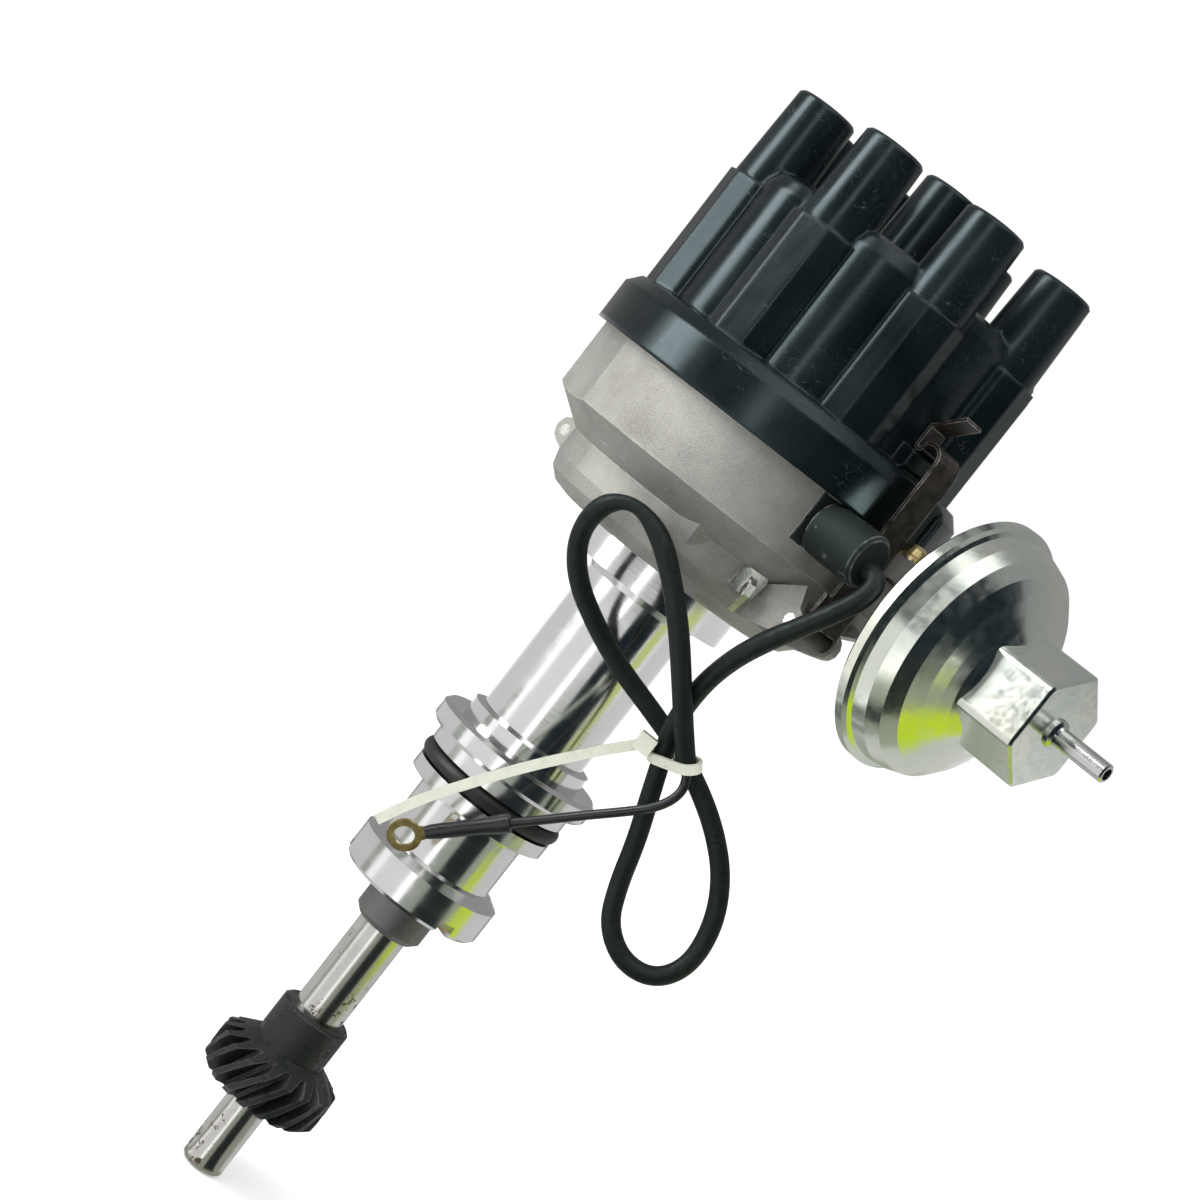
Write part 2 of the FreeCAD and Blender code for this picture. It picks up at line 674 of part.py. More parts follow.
def roll_clearance(s, turn):
    """Room in the bowl for a clip's rolled foot, and for its strip above it."""
    gap = s.small_gap
    roll = s.hinge_pin_radius + s.running_gap + s.clip_thickness + gap
    width = s.clip_foot_width + 2 * gap
    room = Part.makeCylinder(roll, width, vec(s.hinge_radius, -width / 2, s.hinge_z),
                             vec(0, 1, 0))
    room.rotate(ORIGIN, Z_AXIS, s.clip_angle + turn)
    return room


def hinge_bore(s, turn):
    """Cross bore of a clip's hinge pin."""
    length = s.clip_foot_width + 2 * s.small_gap + 2 * s.hinge_ear + 2
    bore = Part.makeCylinder(s.hinge_pin_radius, length,
                             vec(s.hinge_radius, -length / 2, s.hinge_z), vec(0, 1, 0))
    bore.rotate(ORIGIN, Z_AXIS, s.clip_angle + turn)
    return bore


def screw_bore(s, turn):
    """Threaded hole for a base plate screw, in the ledge of the bowl."""
    point = polar(s.plate_screw_circle, 115 + turn, s.ledge_z - 2.2)
    return Part.makeCylinder(s.plate_screw_radius, 4, point)


def rod_slot(s):
    """Slot in the wall of the bowl for the vacuum link."""
    half = s.rod_width / 2 + 1.5
    return block(s.ledge_radius + 1.6, s.upper_bowl_radius + 1, s.canister_y - half,
                 s.canister_y + half, s.canister_z - 3.2, s.canister_z + 3.2)


def grommet_notch(s):
    """Notch in the rim of the bowl that takes the grommet."""
    return sector(s.upper_bowl_radius - s.grommet_depth, s.upper_bowl_radius + 1,
                  s.grommet_from, s.grommet_to, s.grommet_bottom_z, s.bowl_top_z)


def sector(inner, outer, start, end, bottom, top):
    """Sector of a ring between two angles."""
    face = Part.Face(Part.makePolygon([vec(inner, 0, bottom), vec(outer, 0, bottom),
                                       vec(outer, 0, top), vec(inner, 0, top),
                                       vec(inner, 0, bottom)]))
    solid = face.revolve(ORIGIN, Z_AXIS, end - start)
    solid.rotate(ORIGIN, Z_AXIS, start)
    return solid


def make_o_ring(doc):
    """Rubber ring in the groove between the two lands."""
    o_ring = doc.addObject("Part::Torus", "o_ring")
    o_ring.Label = "o_ring"
    o_ring.setExpression("Radius1", cell("ring_outer_radius") + " - " + cell("ring_section_radius"))
    o_ring.setExpression("Radius2", cell("ring_section_radius"))
    o_ring.setExpression("Placement.Base.z", cell("ring_groove_bottom_z") + " + "
                         + cell("ring_groove_width") + " / 2")
    return o_ring


def make_hinge_pins(doc, s):
    """Pins of the two cap clips."""
    pins = []
    length = s.clip_foot_width + 2 * s.small_gap + 2 * s.hinge_ear
    for label, turn in (("clip_pin_a", 0), ("clip_pin_b", 180)):
        pin = doc.addObject("Part::Cylinder", label)
        pin.Label = label
        pin.setExpression("Radius", cell("hinge_pin_radius"))
        pin.setExpression("Height", cell("clip_foot_width") + " + 2 * " + cell("small_gap")
                          + " + 2 * " + cell("hinge_ear"))
        angle = s.clip_angle + turn
        base = polar(s.hinge_radius, angle, s.hinge_z) - polar(length / 2, angle + 90)
        pin.Placement = FreeCAD.Placement(base, FreeCAD.Rotation(Z_AXIS, polar(1, angle + 90)))
        pins.append(pin)
    return pins


def make_clip(doc, s, label, turn):
    """Spring clip: rolled foot round its pin, straight strip, arch over the lug and finger tab."""
    half = s.clip_thickness / 2
    middle = s.clip_radius - half
    arch_z = s.lug_top_z + s.clip_hook_drop - s.clip_arch_radius + 1.6
    arch_centre = (middle - s.clip_arch_radius, arch_z)
    hook_radius = arch_centre[0] - s.clip_arch_radius
    hook_z = s.lug_top_z + s.small_gap + half
    path = [(middle, s.hinge_z + 2.2), (middle, s.clip_foot_z), (middle, arch_z)]
    arch = arc_points(arch_centre, s.clip_arch_radius, 20, 135, 6)
    path += arch
    strip = in_radial_plane(strip_outline(path, s.clip_thickness), s.clip_width, s.clip_angle + turn)
    bend = s.clip_thickness * 1.1
    path = arch[-2:]
    path += arc_points((hook_radius - bend, hook_z + bend), bend, 0, -180, 7)
    path += [(hook_radius - 2 * bend, hook_z + 6.2),
             (hook_radius - 2 * bend + s.finger_flare, hook_z + 3.4 + s.finger_rise)]
    finger = in_radial_plane(strip_outline(path, s.clip_thickness), s.finger_width,
                             s.clip_angle + turn)
    foot_path = [(middle, s.hinge_z + 2.0), (middle, s.clip_foot_z)]
    foot = in_radial_plane(strip_outline(foot_path, s.clip_thickness), s.clip_foot_width,
                           s.clip_angle + turn)
    roll_radius = s.hinge_pin_radius + s.running_gap + s.clip_thickness
    roll = Part.makeCylinder(roll_radius, s.clip_foot_width,
                             vec(s.hinge_radius, -s.clip_foot_width / 2, s.hinge_z), vec(0, 1, 0))
    roll.rotate(ORIGIN, Z_AXIS, s.clip_angle + turn)
    bore = Part.makeCylinder(s.hinge_pin_radius + s.running_gap, s.clip_foot_width + 2,
                             vec(s.hinge_radius, -s.clip_foot_width / 2 - 1, s.hinge_z),
                             vec(0, 1, 0))
    bore.rotate(ORIGIN, Z_AXIS, s.clip_angle + turn)
    clip = strip.fuse([finger, foot, roll]).cut(bore).removeSplitter()
    return add_feature(doc, label, clip)


def tower_angles(s):
    """Angles of the outer towers about the shaft."""
    count = int(s.tower_count)
    return [s.tower_angle + 360.0 * index / count for index in range(count)]


def make_cap(doc, s):
    """Moulded cap: ring, shoulder, panelled body and the ring of towers with their sockets."""
    arch = s.cap_deck_z - s.cap_arch
    shell = turned([
        (0, s.bowl_top_z), (s.cap_ring_radius, s.bowl_top_z),
        (s.cap_ring_radius, s.cap_ring_top_z), (s.cap_shoulder_radius, s.cap_shoulder_z),
        (s.cap_body_radius, s.cap_shoulder_z + 1.2), (s.cap_body_radius, arch),
        (s.cap_body_radius - s.cap_arch * 0.3, arch + s.cap_arch * 0.7),
        (s.cap_body_radius - s.cap_arch, s.cap_deck_z), (0, s.cap_deck_z)])
    solids = []
    for angle in tower_angles(s):
        rib = tower_rib(s, angle)
        tower = turned([
            (0, s.tower_step_z), (s.tower_root_radius, s.tower_step_z),
            (s.tower_tip_radius, s.tower_top_z - s.socket_lead_in),
            (s.tower_tip_radius - s.socket_lead_in, s.tower_top_z), (0, s.tower_top_z)])
        tower.translate(polar(s.tower_circle, angle))
        solids += [rib, tower]
    solids.append(turned([
        (0, s.cap_deck_z - 1), (s.tower_root_radius, s.cap_deck_z - 1),
        (s.tower_tip_radius, s.centre_tower_top_z - s.socket_lead_in),
        (s.tower_tip_radius - s.socket_lead_in, s.centre_tower_top_z),
        (0, s.centre_tower_top_z)]))
    solids += [panel(s, index) for index in range(int(s.tower_count)) if index % 4 != 3]
    solids += [clip_lug(s, turn) for turn in (0, 180)]
    cap = shell.fuse(solids)
    rim_inside = s.upper_bowl_radius - s.bowl_wall
    wall_inside = s.cap_body_radius - s.cap_wall
    hollow = turned([
        (0, s.bowl_top_z - 1), (rim_inside, s.bowl_top_z - 1), (rim_inside, s.cap_ring_top_z - 3),
        (wall_inside, s.cap_ring_top_z), (wall_inside, s.cap_ceiling_z - 3),
        (wall_inside - 3, s.cap_ceiling_z), (0, s.cap_ceiling_z)])
    boss = ring(s.brush_boss_radius, 0, s.brush_boss_bottom_z, s.cap_ceiling_z)
    cuts = [hollow.cut(boss)]
    cuts += [clip_pocket(s, turn) for turn in (0, 180)]
    cuts += [strip_room(s, turn) for turn in (0, 180)]
    cuts += [socket(s, polar(s.tower_circle, angle), s.tower_top_z) for angle in tower_angles(s)]
    cuts.append(socket(s, ORIGIN, s.centre_tower_top_z))
    cuts.append(Part.makeCylinder(s.brush_radius + s.running_gap * 2,
                                  s.centre_tower_top_z - s.brush_boss_bottom_z,
                                  vec(0, 0, s.brush_boss_bottom_z)))
    return add_feature(doc, "distributor_cap", cap.cut(cuts).removeSplitter())


def tower_rib(s, angle):
    """Rib under a tower, with a flat front between two bevelled corners."""
    half = s.tower_rib_half
    front = s.tower_circle + s.tower_rib_radius
    shoulder = front - s.tower_rib_corner * 0.9
    inside = s.tower_circle - s.tower_rib_radius * 0.6
    corners = [(inside, -half), (shoulder, -half), (front, -half + s.tower_rib_corner),
               (front, half - s.tower_rib_corner), (shoulder, half), (inside, half)]
    rib = prism([vec(x, y, s.cap_ring_top_z) for x, y in corners],
                s.tower_step_z - s.cap_ring_top_z)
    rib.rotate(ORIGIN, Z_AXIS, angle)
    return rib


def panel(s, index):
    """Bulging panel between two towers, rounded over at the deck."""
    arch = s.cap_deck_z - s.cap_arch
    bulge = turned([
        (0, s.cap_ring_top_z), (s.panel_radius, s.cap_ring_top_z), (s.panel_radius, arch),
        (s.panel_radius - s.cap_arch * 0.3, arch + s.cap_arch * 0.7),
        (s.panel_radius - s.cap_arch, s.cap_deck_z), (0, s.cap_deck_z)])
    between = s.tower_angle + (index + 0.5) * 360 / s.tower_count
    bulge.translate(polar(s.panel_circle, between))
    return bulge


def socket(s, base, top):
    """Socket of a tower, with its lead-in and the bore for its terminal below."""
    bottom = top - s.socket_depth
    recess = s.socket_radius - s.terminal_recess
    seat = bottom + s.terminal_head + s.small_gap
    tool = turned([
        (0, bottom), (recess, bottom), (recess, seat), (s.socket_radius, seat),
        (s.socket_radius, top - s.socket_lead_in),
        (s.socket_radius + s.socket_lead_in, top + 0.01), (0, top + 0.01)])
    tool = tool.fuse(Part.makeCylinder(s.terminal_radius, bottom - s.terminal_bottom_z + 1,
                                       vec(0, 0, s.terminal_bottom_z - 1)))
    tool.translate(base)
    return tool


def clip_lug(s, turn):
    """Lug on the cap that a clip hooks over."""
    outline = [(s.cap_body_radius - 2, s.cap_ring_top_z + 1), (s.cap_body_radius, s.cap_ring_top_z
               + 1.4), (s.lug_radius, s.cap_shoulder_z + 2), (s.lug_radius, s.lug_top_z - 0.6),
               (s.lug_radius - 0.6, s.lug_top_z), (s.cap_body_radius - 2, s.lug_top_z)]
    return in_radial_plane(outline, s.lug_width, s.clip_angle + turn)


def clip_pocket(s, turn):
    """Flat pocket through the cap's ring that lets a clip pass."""
    outside = s.clip_pocket_radius + s.cap_ring_radius
    top = max(s.cap_shoulder_z, s.cap_ring_top_z) + 0.6
    pocket = block(s.clip_pocket_radius, outside, -s.clip_pocket_width / 2,
                   s.clip_pocket_width / 2, min(s.bowl_top_z, s.cap_ring_top_z) - 1, top)
    pocket.rotate(ORIGIN, Z_AXIS, s.clip_pocket_angle + turn)
    return pocket


def strip_room(s, turn):
    """Room beside the cap for a clip's upright strip, from its foot to above its arch."""
    inside = s.clip_radius - s.clip_thickness - s.small_gap
    half = s.clip_width / 2 + s.small_gap
    room = block(inside, s.clip_radius + s.cap_ring_radius, -half, half, s.hinge_z,
                 s.lug_top_z + s.clip_hook_drop + s.clip_arch_radius)
    room.rotate(ORIGIN, Z_AXIS, s.clip_angle + turn)
    return room


def make_terminals(doc, s):
    """Brass terminals moulded into the towers, and the centre terminal."""
    parts = []
    for index, angle in enumerate(tower_angles(s), start=1):
        seat = s.tower_top_z - s.socket_depth
        pin = turned([
            (0, s.terminal_bottom_z), (s.terminal_radius, s.terminal_bottom_z),
            (s.terminal_radius, seat), (s.socket_radius - s.small_gap, seat),
            (s.socket_radius - s.small_gap, seat + s.terminal_head), (0, seat + s.terminal_head)])
        pin.translate(polar(s.tower_circle, angle))
        parts.append(add_feature(doc, "terminal_%d" % index, pin))
    seat = s.centre_tower_top_z - s.socket_depth
    bore = s.brush_radius + s.running_gap * 2
    centre = turned([
        (0, s.cap_ceiling_z), (bore, s.cap_ceiling_z), (bore, seat),
        (s.socket_radius - s.small_gap, seat),
        (s.socket_radius - s.small_gap, seat + s.terminal_head), (0, seat + s.terminal_head)])
    parts.append(add_feature(doc, "centre_terminal", centre))
    return parts


def make_brush(doc, s):
    """Carbon brush in the cap's boss and the coil spring behind it."""
    bottom = rotor_spring_top(s) + s.small_gap
    brush = doc.addObject("Part::Cylinder", "carbon_brush")
    brush.Label = "carbon_brush"
    brush.setExpression("Radius", cell("brush_radius"))
    brush.setExpression("Height", cell("brush_length"))
    brush.Placement = FreeCAD.Placement(vec(0, 0, bottom), FreeCAD.Rotation())
    top = bottom + s.brush_length
    spring = coil(s.brush_radius - 0.5, 0.3, top + 0.3, s.cap_ceiling_z - 0.3, 3)
    return brush, add_feature(doc, "brush_spring", spring)


def rotor_spring_top(s):
    """Height of the rotor's contact spring under the brush."""
    return s.rotor_top_z + s.blade_thickness + 4.0


def coil(radius, wire, bottom, top, turns):
    """Compression spring about Z, as a helix of round wire."""
    helix = Part.makeHelix((top - bottom) / turns, top - bottom, radius)
    helix.translate(vec(0, 0, bottom))
    section = Part.Wire(Part.makeCircle(wire, vec(radius, 0, bottom), vec(0, 1, 0)))
    return Part.Wire(helix).makePipeShell([section], True, True)


def make_governor_plate(doc, s):
    """Plate fixed to the shaft, with the pivot posts of the two weights."""
    top = s.governor_z + s.governor_thickness
    plate = ring(s.governor_radius, s.shaft_radius, s.governor_z, top)
    posts = [Part.makeCylinder(s.weight_pin_radius, s.weight_thickness + s.small_gap,
                               polar(s.weight_pivot, angle, top)) for angle in (0, 180)]
    return add_feature(doc, "governor_plate", plate.fuse(posts))


def make_governor_washer(doc):
    """Spacer between the floor of the bowl and the governor plate."""
    inner = cell("shaft_radius") + " + " + cell("running_gap")
    outer = cell("shaft_radius") + " + 5"
    low = BOWL_INSIDE + " + 0.05"
    high = cell("governor_z") + " - 0.05"
    return revolved_body(doc, "governor_washer",
                         [(inner, low), (outer, low), (outer, high), (inner, high)])


def make_weight(doc, s, label, turn):
    """Governor weight: half ring hung on its post."""
    bottom = s.governor_z + s.governor_thickness + s.small_gap / 3
    weight = sector(s.weight_inner_radius, s.weight_outer_radius, s.weight_start, s.weight_end,
                    bottom, bottom + s.weight_thickness)
    hole = Part.makeCylinder(s.weight_pin_radius + s.running_gap, s.weight_thickness + 2,
                             polar(s.weight_pivot, 0, bottom - 1))
    weight = weight.cut(hole)
    weight.rotate(ORIGIN, Z_AXIS, turn)
    return add_feature(doc, label, weight)


def make_breaker_cam(doc, s):
    """Cam sleeve on the spindle: yoke over the weights, eight lobes and the rotor's seat."""
    bottom = s.governor_z + s.governor_thickness + s.small_gap / 3
    yoke_z = bottom + s.weight_thickness + 2 * s.small_gap
    bore = s.spindle_radius + s.running_gap
    sleeve = ring(s.cam_sleeve_radius, bore, bottom, s.cam_top_z)
    yoke = block(-s.yoke_reach, s.yoke_reach, -s.cam_sleeve_radius + 1, s.cam_sleeve_radius - 1,
                 yoke_z, yoke_z + s.yoke_thickness)
    yoke = yoke.common(Part.makeCylinder(s.yoke_reach, 2 * s.yoke_thickness, vec(0, 0, yoke_z)))
    yoke.rotate(ORIGIN, Z_AXIS, (s.weight_start + s.weight_end) / 2)
    lobes = []
    steps = 6 * int(s.tower_count)
    swing = (s.cam_lobe_radius - s.cam_base_radius) / 2
    for step in range(steps):
        angle = 360.0 * step / steps
        rise = swing * math.cos(math.radians(angle * s.tower_count))
        lobes.append(polar(s.cam_base_radius + swing + rise, angle, s.cam_bottom_z))
    cam = prism(lobes, s.cam_height)
    cam = sleeve.fuse([yoke, cam]).cut(Part.makeCylinder(bore, s.cam_top_z, vec(0, 0, bottom)))
    return add_feature(doc, "breaker_cam", cam.removeSplitter())


def make_rotor(doc, s):
    """Moulded rotor on the cam sleeve, its brass blade and the spring under the brush."""
    hub = turned([
        (s.cam_sleeve_radius + s.running_gap / 2, s.rotor_bottom_z),
        (s.rotor_hub_radius, s.rotor_bottom_z), (s.rotor_hub_radius, s.rotor_top_z),
        (0, s.rotor_top_z), (0, s.cam_top_z), (s.cam_sleeve_radius + s.running_gap / 2, s.cam_top_z)])
    half = s.rotor_arm_width / 2
    arm = prism([vec(0, -half, s.rotor_arm_z), vec(s.rotor_arm_length * 0.6, -half, s.rotor_arm_z),
                 vec(s.rotor_arm_length, -half * 0.6, s.rotor_arm_z),
                 vec(s.rotor_arm_length, half * 0.6, s.rotor_arm_z),
                 vec(s.rotor_arm_length * 0.6, half, s.rotor_arm_z), vec(0, half, s.rotor_arm_z)],
                s.rotor_top_z - s.rotor_arm_z)
    rotor = add_feature(doc, "rotor", hub.fuse(arm).removeSplitter())
    tip = s.tower_circle - s.terminal_radius - s.rotor_gap
    blade = block(-s.blade_width, tip, -s.blade_width / 2, s.blade_width / 2, s.rotor_top_z,
                  s.rotor_top_z + s.blade_thickness)
    parts = [rotor, add_feature(doc, "rotor_blade", blade)]
    base = s.rotor_top_z + s.blade_thickness
    thin = s.blade_thickness / 3
    top = rotor_spring_top(s) - thin / 2
    path = [(-s.blade_width + 1, base + thin / 2), (-s.blade_width / 2, base + thin / 2),
            (-1.5, top - 0.3), (0, top), (1.5, top - 0.3)]
    outline = [vec(x, -s.blade_width / 3, z) for x, z in strip_outline(path, thin)]
    leaf = Part.Face(Part.makePolygon(outline + outline[:1])).extrude(vec(0, s.blade_width / 1.5, 0))
    parts.append(add_feature(doc, "rotor_spring", leaf))
    return parts


def make_base_plate(doc, s):
    """Fixed plate on the ledge of the bowl, and its two screws."""
    top = s.ledge_z + s.base_plate_thickness
    plate = ring(s.base_plate_radius, s.base_plate_hole, s.ledge_z, top)
    screws = []
    for turn in (0, 180):
        point = polar(s.plate_screw_circle, 115 + turn, s.ledge_z - 2.2)
        shank = Part.makeCylinder(s.plate_screw_radius, 2.2 + s.base_plate_thickness, point)
        plate = plate.cut(shank)
        head = Part.makeCylinder(s.plate_screw_head, 1.6, vec(point.x, point.y, top))
        screws.append(shank.fuse(head).removeSplitter())
    add_feature(doc, "base_plate_screws", Part.makeCompound(screws))
    return add_feature(doc, "base_plate", plate)


def breaker_plate_z(s):
    """Underside of the moving breaker plate."""
    return s.ledge_z + s.base_plate_thickness + s.small_gap


def make_breaker_plate(doc, s):
    """Moving plate with its bearing collar and the pin for the vacuum link."""
    bottom = breaker_plate_z(s)
    top = bottom + s.plate_thickness
    plate = ring(s.plate_radius, s.plate_hole, bottom, top)
    collar = ring(s.base_plate_hole - 2 * s.running_gap, s.plate_hole, bottom - s.plate_collar, top)
    pin = Part.makeCylinder(s.link_pin_radius, s.canister_z + s.rod_thickness / 2 + 0.8 - bottom,
                            vec(s.link_pin_x, s.link_pin_y, bottom))
    return add_feature(doc, "breaker_plate", plate.fuse([collar, pin]).removeSplitter())


def make_contact_set(doc, s):
    """Contact base with the pivot post and fixed contact, and the arm with its rubbing block."""
    top = breaker_plate_z(s) + s.plate_thickness
    pivot = vec(s.arm_pivot_x, s.arm_pivot_y, 0)
    contact_x = s.cam_lobe_radius + 3
    arm_y = pivot.y - s.arm_height / 2
    base = prism([vec(pivot.x - 4, pivot.y + 4, top), vec(pivot.x - 2, pivot.y - 9, top),
                  vec(contact_x + 2, arm_y - 8, top), vec(contact_x + 4, arm_y + 1.0, top),
                  vec(contact_x - 6, arm_y - 1.5, top), vec(pivot.x + 5, pivot.y + 4, top)], 1.2)
    post = Part.makeCylinder(s.arm_pin_radius, s.arm_z + s.arm_height + 1 - top,
                             vec(pivot.x, pivot.y, top))
    bracket = block(contact_x - 2.5, contact_x + 2.5, arm_y - 0.2, arm_y + 0.9, top,
                    s.arm_z + s.arm_height)
    add_feature(doc, "contact_base", base.fuse([post, bracket]).removeSplitter())
    button = 0.8
    arm_face = arm_y - 0.2 - button
    middle = s.arm_z + s.arm_height / 2
    bar = block(pivot.x, contact_x + 2.5, arm_face - 1.6, arm_face, s.arm_z,
                s.arm_z + s.arm_height)
    eye = Part.makeCylinder(s.arm_pin_radius + 2, s.arm_height, vec(pivot.x, pivot.y, s.arm_z))
    rub_reach = -(s.cam_lobe_radius + s.small_gap)
    rub = prism([vec(-3.0, arm_face, s.arm_z), vec(2.5, arm_face, s.arm_z),
                 vec(1.2, rub_reach, s.arm_z), vec(-1.2, rub_reach, s.arm_z)], s.arm_height)
    tip = Part.makeCylinder(1.6, button, vec(contact_x, arm_face, middle), vec(0, 1, 0))
    bore = Part.makeCylinder(s.arm_pin_radius + s.running_gap, s.arm_height + 2,
                             vec(pivot.x, pivot.y, s.arm_z - 1))
    arm = bar.fuse([eye, rub, tip]).cut(bore).removeSplitter()
    return add_feature(doc, "breaker_arm", arm)


def make_condenser(doc, s):
    """Condenser can in its strap on the breaker plate."""
    top = breaker_plate_z(s) + s.plate_thickness
    radius = s.plate_radius - s.condenser_radius - 4
    can = Part.makeCylinder(s.condenser_radius, s.condenser_length,
                            vec(radius, -s.condenser_length / 2, top + s.condenser_radius + 0.6),
                            vec(0, 1, 0))
    strap = block(radius - s.condenser_radius, radius + s.condenser_radius, -3, 3, top,
                  top + s.condenser_radius)
    can = can.fuse(strap).removeSplitter()
    can.rotate(ORIGIN, Z_AXIS, 150)
    return add_feature(doc, "condenser", can)


def make_canister(doc, s):
    """Two pressed shells of the vacuum canister, its nipple and the return spring."""
    back = s.canister_back_x
    rim = s.canister_rim_x
    wall = s.canister_wall
    lip = s.canister_radius - wall
    guide = s.rod_width / 2 + s.turning_gap
    rear = turned([
        (guide, back), (lip * 0.44, back), (lip * 0.56, back + 1.8), (lip * 0.75, back + 4.8),
        (lip * 0.94, rim - 1.2), (lip, rim), (lip, rim + wall), (lip - wall, rim + wall),
        (lip * 0.91, rim - 0.2), (lip * 0.73, back + 6.0), (lip * 0.545, back + 3.0),
        (lip * 0.425, back + wall), (guide, back + wall)])
    add_feature(doc, "canister_rear_shell", along_x(rear, s.canister_y, s.canister_z))
    front_z = rim + s.canister_rim_width
    flat = s.nose_flats / 2
    flare = s.nose_start_x
    outer = [(s.canister_radius - 0.5, rim), (s.canister_radius, rim + 0.6),
             (s.canister_radius, front_z - 0.8), (s.canister_radius - 0.8, front_z),
             (lip - 0.6, front_z + 0.6), (lip - 1.2, flare - 13.6), (lip - 2.5, flare - 10.0),
             (flat + 12.8, flare - 7.2), (flat + 8.7, flare - 5.0), (flat + 5.2, flare - 3.4),
             (flat + 2.4, flare - 1.9), (flat, flare)]
    inner = [(flat - wall, flare), (flat + 1.2, flare - 2.6), (flat + 4.0, flare - 4.1),
             (flat + 7.4, flare - 5.7), (flat + 11.4, flare - 7.9), (lip - 3.7, flare - 10.6),
             (lip - 2.4, flare - 13.8), (lip - 1.8, front_z - wall), (lip, front_z - wall),
             (lip, rim)]
    bell = turned(outer + [(flat, s.nose_end_x - 3), (flat - wall, s.nose_end_x - 3)] + inner)
    corners = [polar(flat / math.cos(math.radians(30)), 60 * index, flare - 4)
               for index in range(6)]
    nose = prism(corners, s.nose_end_x - flare + 4)
    long_edges = [edge for edge in nose.Edges if abs(edge.tangentAt(edge.FirstParameter).z) > 0.9]
    nose = nose.makeFillet(s.nose_edge, long_edges)
    end_edges = [edge for edge in nose.Edges if edge.BoundBox.ZMin > s.nose_end_x - 0.01]
    nose = nose.makeChamfer(s.nose_edge / 4, end_edges)
    shell = bell.fuse(nose).cut(turned([
        (0, flare - 6), (flat + 7.4, flare - 5.7), (flat + 4.0, flare - 4.1),
        (flat + 1.2, flare - 2.6), (flat - wall, flare), (flat - wall, s.nose_end_x - wall),
        (0, s.nose_end_x - wall)]))
    shell = shell.cut(Part.makeCylinder(s.nipple_radius, 20, vec(0, 0, s.nose_end_x - 10)))
    add_feature(doc, "canister_front_shell",
                along_x(shell.removeSplitter(), s.canister_y, s.canister_z))
    tip = s.nose_end_x + s.nipple_length
    nipple = turned([
        (s.nipple_bore, s.nose_end_x - wall), (s.nipple_radius, s.nose_end_x - wall),
        (s.nipple_radius, s.nose_end_x), (s.nipple_collar_radius, s.nose_end_x),
        (s.nipple_collar_radius, s.nose_end_x + 0.7), (s.nipple_radius + 0.4, s.nose_end_x + 1.4),
        (s.nipple_radius, s.nose_end_x + 2.0), (s.nipple_radius, tip - 0.4),
        (s.nipple_radius - 0.4, tip), (s.nipple_bore, tip)])
    add_feature(doc, "vacuum_nipple", along_x(nipple, s.canister_y, s.canister_z))
    spring_from = diaphragm_x(s) + 2 * s.canister_wall + s.diaphragm_travel + s.small_gap
    spring = coil(s.nose_flats / 2 - 4, 0.7, spring_from + 0.7, s.nose_end_x - wall - 0.75, 5)
    return add_feature(doc, "canister_spring", along_x(spring, s.canister_y, s.canister_z))


def diaphragm_x(s):
    """Rear face of the diaphragm at rest."""
    return s.canister_rim_x + s.canister_wall


def make_vacuum_link(doc, s):
    """Diaphragm on its rod, and the flat link that ends on the breaker plate's pin."""
    x = diaphragm_x(s)
    radius = s.canister_radius - 4.7
    wall = s.canister_wall
    disc = turned([(0, x), (radius, x), (radius, x + wall), (radius - 6, x + wall),
                   (radius - 7, x + 2 * wall), (0, x + 2 * wall)])
    add_feature(doc, "diaphragm", along_x(disc, s.canister_y, s.canister_z))
    near = s.ledge_radius
    rod = Part.makeCylinder(s.rod_thickness * 0.9, x - near + 4, vec(0, 0, near - 4))
    rod = along_x(rod, s.canister_y, s.canister_z)
    path = [(near + 0.8, s.canister_y), (near - 4, s.canister_y), (s.link_pin_x, s.link_pin_y)]
    bottom = s.canister_z - s.rod_thickness / 2
    strip = [vec(px, py, bottom) for px, py in strip_outline(path, s.rod_width)]
    link = prism(strip, s.rod_thickness)
    eye = Part.makeCylinder(s.rod_width * 0.7, s.rod_thickness,
                            vec(s.link_pin_x, s.link_pin_y, bottom))
    hole = Part.makeCylinder(s.link_pin_radius + s.small_gap, s.rod_thickness + 2,
                             vec(s.link_pin_x, s.link_pin_y, bottom - 1))
    link = rod.fuse([link, eye]).cut(hole).removeSplitter()
    return add_feature(doc, "vacuum_link", link)


